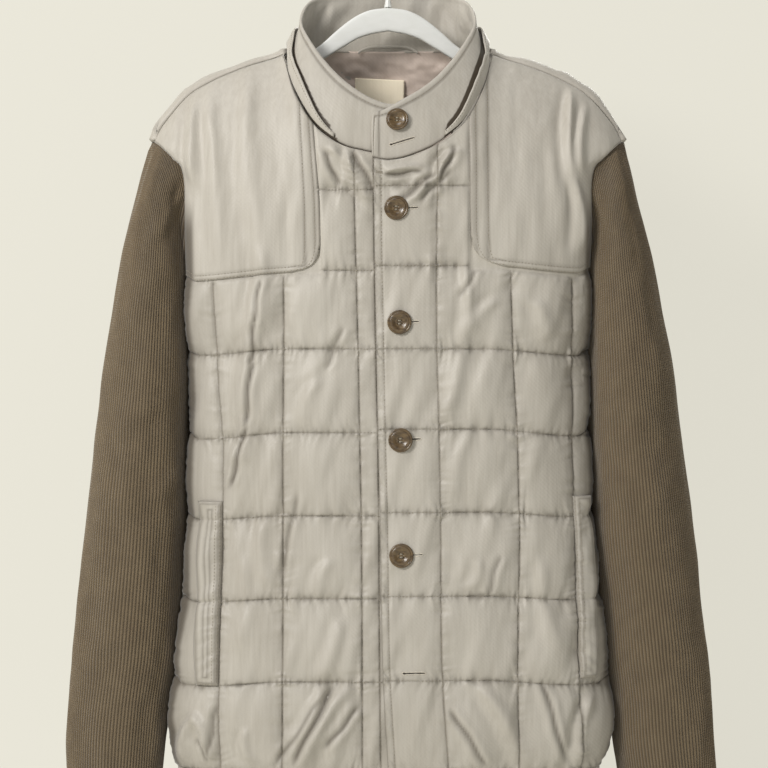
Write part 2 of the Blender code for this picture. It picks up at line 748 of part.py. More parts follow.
def on_neckline(edge, foot):
    """A foot point of the collar brought down to a front's top edge, half a wall and a gap clear of it."""
    start, way = edge[:-1], np.diff(edge, axis=0)
    share = np.sum(((foot - start) * way)[:, [0, 2]], 1) / np.sum(way[:, [0, 2]] ** 2, 1)
    near = start + way * np.clip(share, 0, 1)[:, None]
    near = near[np.argmin(np.linalg.norm((foot - near)[:, [0, 2]], axis=1))]
    x, z = unit((foot - near)[[0, 2]])
    clear = CURVED_SEAM_GAP / 2 + COLLAR_WALL / 2 * abs(x)
    return near + np.array([x * clear, SHELL_WALL / 2, z * clear])


def make_collar(fronts):
    """The stand collar, a strip whose left end laps over the right one, and the band outside its foot."""
    surface = collar_surface(fronts)
    normal = normals(surface)
    rows, count = surface.shape[:2]
    lap = np.linspace(1, -1, count)
    lap = np.sign(lap) * np.clip(np.abs(lap) * 3 - 2, 0, 1) * COLLAR_LAP
    surface = surface + normal * np.outer(np.linspace(0, 1, rows), lap)[..., None]
    half = normal * COLLAR_WALL / 2
    add_slab("collar", surface + half, surface - half, "shell")
    make_collar_band(surface, normal)
    return surface + half


def make_collar_band(surface, normal):
    """The band outside the collar's foot, tapered to its ends, open on top and set off by a slot."""
    low, way = surface[:, BAND_REACH], normal[:, BAND_REACH]
    rows, count = low.shape[:2]
    columns = np.arange(count)
    from_tip = np.minimum(columns, columns[::-1])
    tall = BAND_TALL * (BAND_TIP + (1 - BAND_TIP) * ease(from_tip / BAND_TAPER))
    slot = BAND_SLOT + BAND_OPENING * ease(from_tip / 1.5) * (1 - BAND_HUG * ease((from_tip - 2) / 3))
    band = []
    for level, open_by in ((0.0, 0.3), (0.5, 0.8), (1.0, 1.0)):
        place = (BAND_FOOT + tall * level) * (rows - 1)
        j = place.astype(int)
        point = low[j, columns] + (low[j + 1, columns] - low[j, columns]) * (place - j)[:, None]
        stand = COLLAR_WALL / 2 + SEAM_GAP + BAND_WALL / 2 + slot * open_by
        band.append(point + way[j, columns] * stand[:, None])
    band = np.array(band)
    half = normals(band) * BAND_WALL / 2
    add_slab("collar_band", band + half, band - half, "shell")


HEM_WAVES = 40
HEM_WALL = 2.4
HEM_INSET = 1.5  # the band hangs this far inside the shell's outer surface
WAVE_CREST, WAVE_TROUGH = 2.2, -0.4
HEM_RINGS = table("z gather", (HEM - SEAM_GAP, 0), (HEM - 22, 1), (HEM - HEM_BAND, 0.3))


def make_hem_band():
    """The gathered band under the hem seam, with its ends lapped as the fronts are."""
    count = HEM_WAVES * 2 + 1
    turn = np.radians(np.linspace(-90, 270 + UNDER_LAP, count))
    rows = []
    for z, gather in zip(*HEM_RINGS.values()):
        side = np.where(np.cos(turn) > 0, 1.0, -1.0)
        half = np.where(side > 0, read(BODY, "z", "left", z), read(BODY, "z", "right", z)) - HEM_INSET
        depth = np.where(np.sin(turn) < 0, read(BODY, "z", "front", z), read(BODY, "z", "back", z))
        power = 2 / SECTION_POWER
        x = half * side * np.abs(np.cos(turn)) ** power
        y = (depth - HEM_INSET) * np.sign(np.sin(turn)) * np.abs(np.sin(turn)) ** power
        ring = np.stack([x, y, 0 * x + z], -1)
        away = unit(np.stack([x, y * 2.0, 0 * x], -1))
        wave = np.where(np.arange(count) % 2, WAVE_CREST, WAVE_TROUGH) * gather
        lap = np.clip(np.linspace(1, -1, count) * 12 - 11, 0, 1) * OVERLAP_LIFT
        ring = ring + away * (wave + lap)[:, None]
        rows.append(ring)
    band = np.array(rows[::-1])
    way = unit(np.stack([band[..., 0], band[..., 1] * 2.0, 0 * band[..., 0]], -1))
    add_slab("hem_band", band, band - way * HEM_WALL, "shell", step=2)


def surface_tree(grid):
    """A searchable surface over a grid of points in millimetres."""
    rows, columns = grid.shape[:2]
    faces = []
    for j in range(rows - 1):
        for i in range(columns - 1):
            a = j * columns + i
            faces.append((a, a + 1, a + columns + 1, a + columns))
    return BVHTree.FromPolygons(grid.reshape(-1, 3).tolist(), faces)


BUTTON_RADIUS = 11.8
BUTTON_PROFILE = table(
    "radius height",
    (0, 2.4),
    (4.2, 2.4),
    (6.2, 3.6),
    (9.4, 4.2),
    (10.0, 3.4),
    (11.8, 2.8),
    (11.4, 0.8),
    (9.6, 0),
    (0, 0),
)
BUTTONS = table(
    "x z scale tilt",
    (8.8, -197, 0.92, 8),
    (7.9, -283, 1, 0),
    (11.0, -394, 1, 0),
    (12.0, -508.5, 1, 0),
    (12.8, -620.5, 1, 0),
)


def make_buttons(front_outer, collar_outer):
    """Five turned buttons, each seated on the cloth that it closes."""
    trees = [surface_tree(collar_outer)] + [surface_tree(front_outer)] * 4
    radius, height = BUTTON_PROFILE.values()
    profile = np.stack([radius, 0 * radius, height], -1)
    for number, tree in enumerate(trees):
        x, z, scale, tilt = (BUTTONS[key][number] for key in ("x", "z", "scale", "tilt"))
        mesh = bpy.data.meshes.new(f"button_{number + 1}")
        mesh.from_pydata((profile * MM * scale).tolist(), [(k, k + 1) for k in range(len(profile) - 1)], [])
        made = add_object(mesh.name, mesh, "button")
        turned = made.modifiers.new("turned", "SCREW")
        turned.steps = turned.render_steps = 16
        turned.use_merge_vertices = True
        turned.merge_threshold = 0.00002
        turned.use_smooth_shade = True
        lean = math.radians(tilt)
        seat = button_seat(tree, x, z, BUTTON_RADIUS * scale, lean)
        made.rotation_euler = (math.radians(90) - lean, 0, 0)
        made.location = (x * MM, (seat - SEAM_GAP) * MM, z * MM)


def button_seat(tree, x, z, radius, lean):
    """The depth at which a button's back just clears the cloth behind it."""
    found = []
    for k in range(16):
        for share in (0.0, 0.5, 0.85, 1.0):
            dx = radius * share * math.cos(k * math.pi / 8)
            dz = radius * share * math.sin(k * math.pi / 8)
            hit = tree.ray_cast((x + dx, -400.0, z + dz), (0, 1, 0))[0]
            if hit is not None:
                found.append(hit[1] - dz * math.tan(lean))
    return min(found)


HANGER = table(
    "out top height",
    (0, -78, 23),
    (14, -78.4, 23),
    (33, -83.6, 21.5),
    (54, -100.5, 17.5),
    (68, -114.5, 16),
    (88, -127.4, 17),
    (103, -132.6, 18),
    (145, -144.5, 19),
    (178, -158.5, 18),
    (196, -172, 15),
    (205, -180, 9),
)
HANGER_THICKNESS = 8.0
EDGE_ROUND = 2.6
HOOK_WIRE = 2.5
HOOK_RADIUS = 22.0
HOOK_FROM, HOOK_TO = -62.0, 205.0  # degrees round the hook's arc, from its stem to its tip
STEM = table("x z thick", (0, -78 + SEAM_GAP, 1.6), (0, -73, 1.15), (0, -66, 1), (2.2, -55, 1))


def make_hanger():
    """The hanger's arched body, an outline with thickness, and its wire hook."""
    out = HANGER["out"][-1] / 12 * np.concatenate([np.arange(0, 4, 0.5), np.arange(4, 13)])
    top = read(HANGER, "out", "top", out)
    low = top - read(HANGER, "out", "height", out)
    half = list(zip(out, top))
    under = list(zip(out, low))
    ring = [(-x, z) for x, z in half[:0:-1]] + half + under[::-1] + [(-x, z) for x, z in under[1:]]
    outline = bpy.data.curves.new("hanger_body", "CURVE")
    outline.dimensions = "2D"
    outline.fill_mode = "BOTH"
    outline.extrude = HANGER_THICKNESS / 2 * MM
    spline = outline.splines.new("POLY")
    spline.points.add(len(ring) - 1)
    for point, (x, z) in zip(spline.points, ring):
        point.co = (x * MM, z * MM, 0, 1)
    spline.use_cyclic_u = True
    body = add_object("hanger_body", outline, "hanger")
    body.rotation_euler = (math.radians(90), 0, 0)
    weld = body.modifiers.new("weld", "WELD")
    weld.merge_threshold = 0.00001
    edge = body.modifiers.new("round_edges", "BEVEL")
    edge.use_clamp_overlap = False
    edge.width = EDGE_ROUND * MM
    edge.segments = 1
    edge.angle_limit = math.radians(50)
    make_hook()


def make_hook():
    """The hook: up from the body, out, round over the rail and down to its tip."""
    centre = HOOK_WIRE - HOOK_RADIUS
    arc = np.radians(np.linspace(HOOK_FROM, HOOK_TO, 17))
    points = list(zip(*STEM.values()))
    points += [(HOOK_RADIUS * math.cos(a), centre + HOOK_RADIUS * math.sin(a), 1) for a in arc]
    curve = bpy.data.curves.new("hanger_hook", "CURVE")
    curve.dimensions = "3D"
    curve.bevel_depth = HOOK_WIRE * MM
    curve.bevel_resolution = 2
    curve.use_fill_caps = True
    spline = curve.splines.new("POLY")
    spline.points.add(len(points) - 1)
    for point, (x, z, thick) in zip(spline.points, points):
        point.co = (x * MM, 0, z * MM, 1)
        point.radius = thick
    add_object("hanger_hook", curve, "hanger")


LABEL_X, LABEL_Z, LABEL_WALL = (-34, 16), (-178, -143), 1.0
LOOP_DEPTH, LOOP_BEND = 41.0, 4.0
LOOP_HALF, LOOP_RISE, LOOP_CORD = 30.0, 7.0, 1.6
LINING_ROWS, LINING_COLUMNS = slice(-7, None, 2), slice(10, 19, 2)  # the inner wall's own points
LINING_GAP = 0.5
LINING_WALL = 1.4


def make_neck_pieces(inner, normal):
    """The lining inside the back of the neck, the blank label on it, and the loop at the neck seam."""
    base, way = inner[LINING_ROWS, LINING_COLUMNS], normal[LINING_ROWS, LINING_COLUMNS]
    near = base - way * LINING_GAP
    far = base - way * (LINING_GAP + LINING_WALL)
    add_slab("back_lining", near, far, "lining", flip=True)
    tree = surface_tree(far)
    columns_x, rows_z = np.linspace(*LABEL_X, 5), np.linspace(*LABEL_Z, 4)
    face = np.array([[(x, label_depth(tree, x, z), z) for x in columns_x] for z in rows_z])
    add_slab("neck_label", face - np.array([0, LABEL_WALL, 0]), face, "label")
    curve = bpy.data.curves.new("hanger_loop", "CURVE")
    curve.dimensions = "3D"
    curve.bevel_depth = LOOP_CORD * MM
    curve.bevel_resolution = 2
    curve.use_fill_caps = True
    spline = curve.splines.new("POLY")
    bend = np.linspace(-1, 1, 11)
    spline.points.add(len(bend) - 1)
    for point, t in zip(spline.points, bend):
        x, z = LOOP_HALF * t, BACK_NECK + LOOP_RISE * (1 - t**4)
        point.co = (x * MM, (LOOP_DEPTH - LOOP_BEND * t * t) * MM, z * MM, 1)
    add_object("hanger_loop", curve, "shell")


def label_depth(tree, x, z):
    """The depth of the lining's face at a point, less the gap that the label keeps."""
    hit = tree.ray_cast((x, -400.0, z), (0, 1, 0))[0]
    return (hit[1] if hit is not None else 40.0) - SEAM_GAP


def armhole_angles(levels, over):
    """The angles at which a body panel's rows end on the armhole, from the underarm up."""
    low = [float(armhole_angle(z)) for z in levels if z >= UNDERARM - 0.01]
    top = 180.0 if over else SHOULDER_END
    high = [ARMHOLE_CORNER + (top - ARMHOLE_CORNER) * w for w in UPPER_STEPS[1:]]
    return low + high


def main():
    """Clear the scene, then build the jacket and its hanger."""
    for thing in list(bpy.data.objects):
        bpy.data.objects.remove(thing)
    group = bpy.data.collections.new("quilted_jacket")
    bpy.context.scene.collection.children.link(group)
    outers = {}
    for side in (RIGHT, LEFT):
        outer, normal = make_front(side)
        outers[side] = outer
        rows = slice(yoke_foot_row(side, len(outer)), None)
        flip = side == RIGHT
        laid_on("yoke_" + side_name(side), outer, normal, rows, slice(YOKE_COLUMN[side], -1), flip=flip)
        laid_on("welt_" + side_name(side), outer, normal, WELT_ROWS, WELT_COLUMNS[side], WELT_WALL, flip)
    inner, normal = make_back()
    back_angles = armhole_angles(back_levels(), True)
    for side in (RIGHT, LEFT):
        front_angles = armhole_angles(cells(FRONT_ROWS[side][::-1], ROW_STEPS), False) + [160.0, 180.0]
        make_sleeve(side, front_angles, back_angles[:-1])
    collar_outer = make_collar(outers)
    make_hem_band()
    make_buttons(outers[LEFT], collar_outer)
    make_neck_pieces(inner, normal)
    make_hanger()


main()
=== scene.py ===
"""Looks for a quilted jacket with rib-knit sleeves on its hanger.

Every piece is a surface worked out on a grid. Tables and sizes are in millimetres in the model's own frame:
+Z up, the front faces -Y, the wearer's left side lies at +X. "out" is the distance from the centre line
towards the side that is being built.
"""

from __future__ import annotations

import logging
import math
from collections.abc import Callable
from dataclasses import dataclass, field
from enum import Enum

import bpy
import numpy as np
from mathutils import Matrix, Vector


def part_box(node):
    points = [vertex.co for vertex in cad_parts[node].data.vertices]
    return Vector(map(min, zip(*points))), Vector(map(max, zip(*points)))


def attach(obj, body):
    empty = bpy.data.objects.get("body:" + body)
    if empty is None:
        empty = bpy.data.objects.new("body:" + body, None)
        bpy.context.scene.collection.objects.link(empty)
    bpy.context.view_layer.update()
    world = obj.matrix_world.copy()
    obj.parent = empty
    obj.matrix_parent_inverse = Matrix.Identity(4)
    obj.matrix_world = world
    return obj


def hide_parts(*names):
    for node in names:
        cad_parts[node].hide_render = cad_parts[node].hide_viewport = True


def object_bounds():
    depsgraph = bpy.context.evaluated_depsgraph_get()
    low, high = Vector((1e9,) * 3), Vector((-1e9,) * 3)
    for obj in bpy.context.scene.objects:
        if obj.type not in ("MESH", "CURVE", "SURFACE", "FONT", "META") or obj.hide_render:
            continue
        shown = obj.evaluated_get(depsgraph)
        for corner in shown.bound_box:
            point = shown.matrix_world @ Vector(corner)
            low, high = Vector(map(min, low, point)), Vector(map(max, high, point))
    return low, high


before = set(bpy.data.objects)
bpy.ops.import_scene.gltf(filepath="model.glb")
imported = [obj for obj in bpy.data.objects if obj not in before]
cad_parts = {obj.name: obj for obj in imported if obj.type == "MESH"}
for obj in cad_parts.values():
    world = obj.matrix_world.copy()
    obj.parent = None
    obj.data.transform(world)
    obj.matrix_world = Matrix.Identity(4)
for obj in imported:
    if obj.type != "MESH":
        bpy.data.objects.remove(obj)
CAD_BOX = [list(map(float, corner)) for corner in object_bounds()]

MM = 0.001
SEAM_GAP = 0.3
LOG = logging.getLogger("jacket")

Array = np.ndarray
Table = dict[str, Array]
Path = tuple[Array, Array]
Faces = list[tuple[int, ...]]
Shade = tuple[int, int, int]
Place = tuple[float, float, float]


class Side(Enum):
    """The wearer's side, as the sign of X."""

    RIGHT = -1
    LEFT = 1


class Face(Enum):
    """The front or back of the garment, as the sign of Y."""

    FRONT = -1
    BACK = 1


def table(columns: str, *rows: tuple[float, ...]) -> Table:
    """A table as a dictionary that holds one array for each named column."""
    return dict(zip(columns.split(), np.array(rows, float).T))


def read(rows: Table, key: str, column: str, where: Array | float) -> Array:
    """A column's value at places along the key column, on cubic pieces with slopes shared between rows.

    Args:
        rows: The table.
        key: The column that runs upwards.
        column: The column to read.
        where: The places, held within the table's ends.

    Returns:
        The values, one for each place.
    """
    x, y = rows[key], rows[column]
    slope = np.gradient(y, x)
    where = np.clip(where, x[0], x[-1])
    i = np.clip(np.searchsorted(x, where) - 1, 0, len(x) - 2)
    step = x[i + 1] - x[i]
    t = (where - x[i]) / step
    start = (1 + 2 * t) * (1 - t) ** 2 * y[i] + t * (1 - t) ** 2 * step * slope[i]
    return start + t * t * (3 - 2 * t) * y[i + 1] + t * t * (t - 1) * step * slope[i + 1]


def unit(vectors: Array) -> Array:
    """The vectors at length 1."""
    return vectors / np.maximum(np.linalg.norm(vectors, axis=-1, keepdims=True), 1e-9)


def smooth(t: Array) -> Array:
    """An even ease from 0 to 1: 3t^2 - 2t^3, flat past both ends."""
    t = np.clip(t, 0, 1)
    return t * t * (3 - 2 * t)


def bell(off: Array, width: Array | float) -> Array:
    """A bell curve of height 1 over distances from its middle."""
    return np.exp(-((off / width) ** 2))


def root(t: Array) -> Array:
    """The square root of values held between 0 and 1."""
    return np.sqrt(np.clip(t, 0, 1))


def power_of(values: Array, power: float) -> Array:
    """The values' power with their signs kept, which squares off a circle's sine and cosine."""
    return np.sign(values) * np.abs(values) ** power


def shares(rows: int, columns: int) -> Array:
    """Shares of the way up and across at each point of a grid."""
    return np.meshgrid(np.linspace(0, 1, rows), np.linspace(0, 1, columns), indexing="ij")


def turns(count: int) -> Array:
    """Even angles once round, in radians."""
    return np.arange(count) * 2 * np.pi / count


def grid_normals(grid: Array) -> Array:
    """The cross product of a grid's columns and rows directions, at length 1."""
    return unit(np.cross(np.gradient(grid, axis=1), np.gradient(grid, axis=0)))


def wander(x: Array, seed: int) -> Array:
    """Smooth noise along a line, from -1 to 1: random values at whole numbers, eased between them.

    Args:
        x: The places.
        seed: The seed of the random values.

    Returns:
        The noise, one value for each place.
    """
    values = np.random.default_rng(seed).uniform(-1, 1, 512)
    i = np.floor(x).astype(int)
    t = smooth(x - i)
    return values[i % 512] * (1 - t) + values[(i + 1) % 512] * t


def drift(x: Array, y: Array, seed: int) -> Array:
    """Smooth noise over a plane, from -1 to 1: random values on a square lattice, eased between them.

    Args:
        x: The places' first coordinate.
        y: Their second.
        seed: The seed of the random values.

    Returns:
        The noise, one value for each place.
    """
    values = np.random.default_rng(seed).uniform(-1, 1, (64, 64))
    i, j = np.floor(x).astype(int), np.floor(y).astype(int)
    s, t = smooth(x - i), smooth(y - j)
    low = values[i % 64, j % 64] * (1 - s) + values[(i + 1) % 64, j % 64] * s
    high = values[i % 64, (j + 1) % 64] * (1 - s) + values[(i + 1) % 64, (j + 1) % 64] * s
    return low * (1 - t) + high * t


def spread(edges: Array, pitch: float) -> Array:
    """Places that divide every cell between edges into steps of about the pitch, closer at the seams.

    Args:
        edges: The cells' edges.
        pitch: The wanted step.

    Returns:
        Places as cell number plus fraction, the last edge included.
    """
    crowd, found = 0.09, []
    for k, width in enumerate(np.abs(np.diff(edges))):
        steps = max(4, round(width / pitch))
        u = np.arange(steps) / steps
        found.append(k + u - crowd * np.sin(2 * np.pi * u))
    return np.concatenate(found + [[len(edges) - 1.0]])


def sample(grid: Array, row: Array, column: Array) -> Array:
    """A grid's values at fractional rows and columns, straight between its points.

    Args:
        grid: The grid, with its values in the last axis.
        row: The fractional rows.
        column: The fractional columns.

    Returns:
        The values, one set for each place.
    """
    row = np.clip(row, 0, grid.shape[0] - 1.001)
    column = np.clip(column, 0, grid.shape[1] - 1.001)
    j, i = np.floor(row).astype(int), np.floor(column).astype(int)
    s, t = (row - j)[..., None], (column - i)[..., None]
    low = grid[j, i] * (1 - t) + grid[j, i + 1] * t
    return low * (1 - s) + (grid[j + 1, i] * (1 - t) + grid[j + 1, i + 1] * t) * s


def flat_cross(a: Array, b: Array) -> Array:
    """The cross product of pairs."""
    return a[:, 0] * b[:, 1] - a[:, 1] * b[:, 0]


def locate(pairs: Array, goal: Array) -> Path:
    """Where a grid of value pairs takes the wanted values, by Newton's steps on its straight pieces.

    Args:
        pairs: Two values at each point; the first grows along the columns, the second up the rows.
        goal: The wanted pairs.

    Returns:
        Fractional rows and columns.
    """
    rows, columns = pairs.shape[:2]
    high, wide, stride = 12, 6, 8
    coarse = pairs[::high, ::wide]
    flat = goal.reshape(-1, 2)
    first = np.argmin(((flat[:, None] - coarse.reshape(-1, 2)[None]) ** 2).sum(-1), axis=1)
    row, column = (first // coarse.shape[1]) * float(high), (first % coarse.shape[1]) * float(wide)
    for _ in range(14):
        rest = 2 * (flat - sample(pairs, row, column))
        up = sample(pairs, row + 1.0, column) - sample(pairs, row - 1.0, column)
        across = sample(pairs, row, column + 1.0) - sample(pairs, row, column - 1.0)
        size = flat_cross(across, up)
        size = np.where(np.abs(size) < 1e-6, 1e-6, size)
        column = np.clip(column + np.clip(flat_cross(rest, up) / size, -stride, stride), 0, columns - 1)
        row = np.clip(row + np.clip(flat_cross(across, rest) / size, -stride, stride), 0, rows - 1)
    return row.reshape(goal.shape[:-1]), column.reshape(goal.shape[:-1])


RIDGE = table(
    "out z",
    (0, -55), (50, -70), (85, -100), (103, -119.5), (145, -135), (178, -148), (200, -161), (214, -177),
    (226, -194), (236, -213),
)
NECKLINE = table(
    "out right left",
    (0, -231, -236.5), (14, -229, -234.5), (28, -226, -230), (43, -222, -223.5), (60, -212, -212),
    (73, -200, -200), (86, -179, -179), (95, -158, -158), (103, -128, -128),
)
SHOULDER_SEAM = table(
    "out z",
    (103, -128), (148, -143), (177, -156.5), (198, -170), (214, -188), (225, -203), (230, -214.5),
)
BODY = table(
    "z right left front back",
    (-882, 209, 210, 66, 56), (-834, 211, 212, 70, 60), (-810, 213.5, 217, 73, 63),
    (-776, 215.5, 220.5, 75, 65), (-736, 210.5, 217, 75, 65), (-687, 205.5, 212.5, 75, 65),
    (-628, 200, 205, 74, 64), (-520, 197, 199.5, 74, 64), (-450, 195.5, 196.5, 74, 64),
    (-420, 198, 198, 73, 63), (-250, 198, 198, 72, 62), (-50, 198, 198, 72, 62),
)
ARMHOLE = table(
    "angle out fore z across",
    (0, 198, 0, -420, 0), (10, 198, 13, -385, 0), (20, 198, 24, -330, 0), (35, 198.5, 34, -263, 10),
    (50, 201, 37, -243, 45), (75, 210, 37, -231, 65), (100, 218, 34, -223, 72), (125, 226, 27, -217, 75),
    (150, 232, 16, -214, 75), (180, 236, 0, -213, 75),
)
SLEEVE = table(
    "z right_outer right_inner left_outer left_inner depth",
    (-870, 319, 230, 330, 236, 33), (-810, 320, 223, 325.5, 226, 37), (-740, 315, 215.5, 320, 221.5, 42),
    (-670, 309, 209.5, 312, 215, 47), (-600, 302, 205, 303.5, 208, 52),
    (-520, 293.5, 202.5, 292.5, 204.5, 56), (-420, 280.5, 201.5, 279, 201.5, 58),
    (-340, 266.5, 201.5, 264, 201, 55), (-290, 256, 201, 252, 200.5, 51),
    (-250, 245.5, 199.5, 243.5, 199.5, 46), (-213, 238, 198, 236, 198, 38),
)
# Quilt seams that run down each front: their distance from the centre line at each height.
FRONT_SEAMS = {
    Side.RIGHT: table(
        "z edge first second third",
        (-832, 7, 25, 103, 164), (-744, 8, 25, 102.5, 165), (-582, 9, 26, 102, 161),
        (-500, 10, 27.5, 102, 162), (-420, 12, 29, 101.5, 168), (-343, 13, 31, 101.5, 171),
        (-265, 14, 33, 101, 171),
    ),
    Side.LEFT: table(
        "z edge first second third",
        (-832, 0, 59, 128, 190), (-744, -5, 53, 126.5, 187), (-582, -8, 51, 128, 182),
        (-500, -10, 49.5, 126, 181), (-420, -11.5, 47.5, 122, 180.5), (-343, -13, 47, 119.5, 180.5),
        (-265, -14, 48, 118, 180.5),
    ),
}
FRONT_ROWS = {
    Side.RIGHT: (-832.0, -744.0, -663.0, -582.5, -501.5, -420.0, -343.5, -265.0),
    Side.LEFT: (-832.0, -742.5, -660.5, -579.0, -498.0, -420.0, -339.0, -261.0),
}
BACK_SEAMS = (0.0, 34.0, 103.0, 172.0)
BACK_ROWS = (-832.0, -743.0, -662.0, -581.0, -500.0, -420.0, -341.0)
# How far the cross seams hang down towards the sides.
DROOP = table("z fall", (-832, 0), (-744, 6), (-663, 5), (-582, 5), (-500, 7), (-420, 6), (-262, 7))
HEM, UNDERARM, CUFF = -832.0, -420.0, -870.0
NECK_OUT, BACK_NECK = 103.0, -119.0
SECTION_POWER, SHOULDER_FALL = 2.8, 190.0
ARMHOLE_CORNER, SHOULDER_END = 35.0, 140.0
QUILT_CROWN, OVERLAP_LIFT, UNDERLAP = 6.0, 3.4, -25.0
# Distances of a laid panel's two rows of stitches from its edge.
TOPSTITCH = (2.8, 8.5)

# Main folds, each a soft ridge along a line with a trough beside it; the sleeves' go by angle and height.
FRONT_FOLDS = table(
    "x0 z0 x1 z1 width height",
    (-189.7, -178.9, -188.7, -259.6, 6, 3), (-177, -170.2, -169.2, -335.4, 8, 2.2),
    (-138.1, -158.5, -123.6, -323.8, 9, 1.8), (-123.6, -323.8, -128.4, -400.5, 10, 2.8),
    (-128.4, -400.5, -137.2, -487, 10, 2.8), (-137.2, -487, -147.9, -532.7, 9, 2.6),
    (179.7, -166.3, 181.7, -255.7, 6, 3.4), (181.7, -255.7, 186.5, -323.8, 6, 3),
    (194.3, -179.9, 189.4, -247.9, 4, 2.4), (73.8, -335.4, 73.8, -419, 6, 1.8),
    (105.8, -372.4, 79.6, -403.5, 6, 1.6), (72.8, -416.1, 50.4, -489, 7, 2),
    (-37, -746.6, -85.6, -827.2, 8, 3), (-64.3, -751.4, -95.4, -804.9, 6, 2),
    (-187.7, -778.4, -198.4, -825.3, 6, 3), (-186.7, -778.4, -174.1, -825.3, 6, 3),
    (-138.1, -790.3, -132.3, -823.4, 5, 2.2), (89.3, -746.6, 133.1, -824.3, 9, 3),
    (196.2, -761.2, 186.5, -824.3, 6, 3), (-4, -249.9, 31, -246, 4, 1.8),
    (-40.9, -226.6, -15.7, -279, 5, 2.6), (-55.5, -222.7, -37, -260.6, 5, 2),
    (65, -226.6, 49.5, -255.7, 5, 2.6), (35.9, -255.7, 19.3, -275.2, 4, 1.8),
    (-56.5, -625.1, -68.2, -664, 7, 1.6), (-138.1, -625.1, -147.9, -712.6, 8, 2),
    (-122.6, -586.2, -114.8, -654.2, 8, 1.6), (-46.8, -683.4, -64.3, -741.7, 8, 1.8),
    (147.6, -625.1, 163.2, -712.6, 8, 1.8), (87.4, -625.1, 79.6, -654.2, 6, 1.4),
    (79.6, -498.7, 62.1, -566.8, 7, 1.6), (141.8, -372.4, 152.5, -411.2, 8, 1.6),
    (-66.2, -450.1, -85.6, -493.9, 7, 1.6),
)
BACK_FOLDS = table(
    "x0 z0 x1 z1 width height",
    (186, -180, 184, -262, 7, 3), (-186, -182, -183, -270, 7, 3), (150, -170, 132, -330, 10, 2),
    (-148, -172, -128, -340, 10, 2), (118, -345, 128, -470, 10, 2.6), (-112, -350, -134, -520, 10, 2.6),
    (20, -180, 34, -300, 12, 1.6), (-30, -210, -44, -330, 12, 1.6), (60, -430, 78, -492, 8, 1.8),
    (-66, -600, -80, -656, 8, 1.8), (140, -590, 150, -690, 9, 2), (8, -520, -10, -575, 8, 1.6),
    (40, -750, 84, -828, 9, 3), (-40, -752, -92, -826, 9, 3), (150, -770, 170, -826, 7, 2.6),
    (-156, -776, -172, -828, 7, 2.6),
)
# The sharpest creases; the back has its own side of them, mirrored.
CREASES = table(
    "x0 z0 x1 z1 width depth",
    (-124.5, -352, -130, -398, 2.4, 2.0), (-129.8, -392, -131.5, -436, 2.6, 2.4),
    (-131, -430, -137.5, -497, 2.6, 2.2), (-137, -494, -153, -556, 2.4, 2.2),
    (-62, -227, -47, -262, 2.6, 1.8), (-35, -228, -12, -268, 2.6, 2.0), (-5, -251, 34, -247, 2.4, 1.8),
    (8, -279, 46, -248, 2.6, 1.8), (30, -276, 62, -246, 3.0, 1.4), (49, -258, 66, -222, 2.8, 2.0),
    (-52, -747, -93, -824, 3.0, 2.2), (-28, -767, -61, -808, 2.8, 1.8), (-167, -768, -175, -820, 2.4, 1.6),
    (-185, -800, -175, -824, 2.4, 1.4), (-66, -760, -110, -826, 2.6, 1.4), (60, -770, 96, -826, 2.8, 1.8),
    (150, -745, 172, -822, 2.6, 1.8), (108, -620, 96, -664, 2.6, 1.3), (-88, -560, -104, -640, 2.8, 1.3),
    (70, -370, 92, -330, 2.6, 1.4), (-60, -440, -44, -398, 2.6, 1.2),
)
SLEEVE_CREASES = table(
    "x0 z0 x1 z1 width height",
    (40, -262, 120, -330, 10, 1.6), (60, -470, 150, -520, 12, 1.8), (30, -540, 110, -575, 12, 1.6),
    (80, -700, 150, -745, 12, 1.4), (220, -470, 310, -530, 14, 1.8), (240, -640, 320, -690, 14, 1.5),
)
COLLAR = table(
    "place foot_out foot_y foot_z top_out top_y top_z bow",
    (-0.14, -20, -69, -226, -17, -65, -178, 2), (0, 0, -71, -227, 0, -66, -180, 2),
    (0.16, 30, -69, -222, 25, -63, -170, 2), (0.32, 62, -62, -204, 52, -53, -148, 2),
    (0.46, 83, -50, -173, 74, -38, -119, 1.5), (0.58, 94.5, -34, -143, 86, -18, -94, -1),
    (0.68, 98.5, -11, -117.5, 83, 4, -76, -4), (0.78, 89, 20.5, -116, 72, 22, -65, -3),
    (0.9, 50, 38, -118.2, 42, 36, -59, 1.5), (1, 0, 45, -118.4, 0, 41, -57, 2),
)
# A button's turned profile, from the middle of its face over the rim to the middle of its back.
BUTTON = table(
    "radius height",
    (0.0, 2.3), (1.4, 2.3), (3.2, 2.35), (4.4, 2.5), (5.2, 3.1), (6.0, 3.6), (7.6, 4.0), (8.6, 4.15),
    (9.0, 4.05), (9.4, 3.6), (9.8, 3.5), (10.2, 3.75), (10.9, 3.9), (11.5, 3.5), (11.8, 2.8), (11.75, 1.6),
    (11.4, 0.8), (10.6, 0.3), (9.6, 0.05), (0.0, 0.05),
)
# Buttonholes of the placket, in the plane of the front, from the eyelet to the bar.
BUTTONHOLES = table(
    "x0 z0 x1 z1",
    (9, -283.4, 29.5, -282.6), (11, -394, 30, -393.2), (12, -508.4, 32, -507.2),
    (13.5, -620.6, 33.5, -619.4), (14, -735.2, 36.5, -734.6),
)
HANGER = table(
    "out top height",
    (0, -78, 23.3), (21, -81.4, 24), (33, -87.1, 23), (41, -92.6, 22.4), (54, -103.3, 19.5), (67, -115, 16),
    (88, -127.4, 17), (103, -132.6, 18), (145, -144.5, 19), (178, -158.5, 18), (196, -172, 15),
    (205, -180, 9),
)


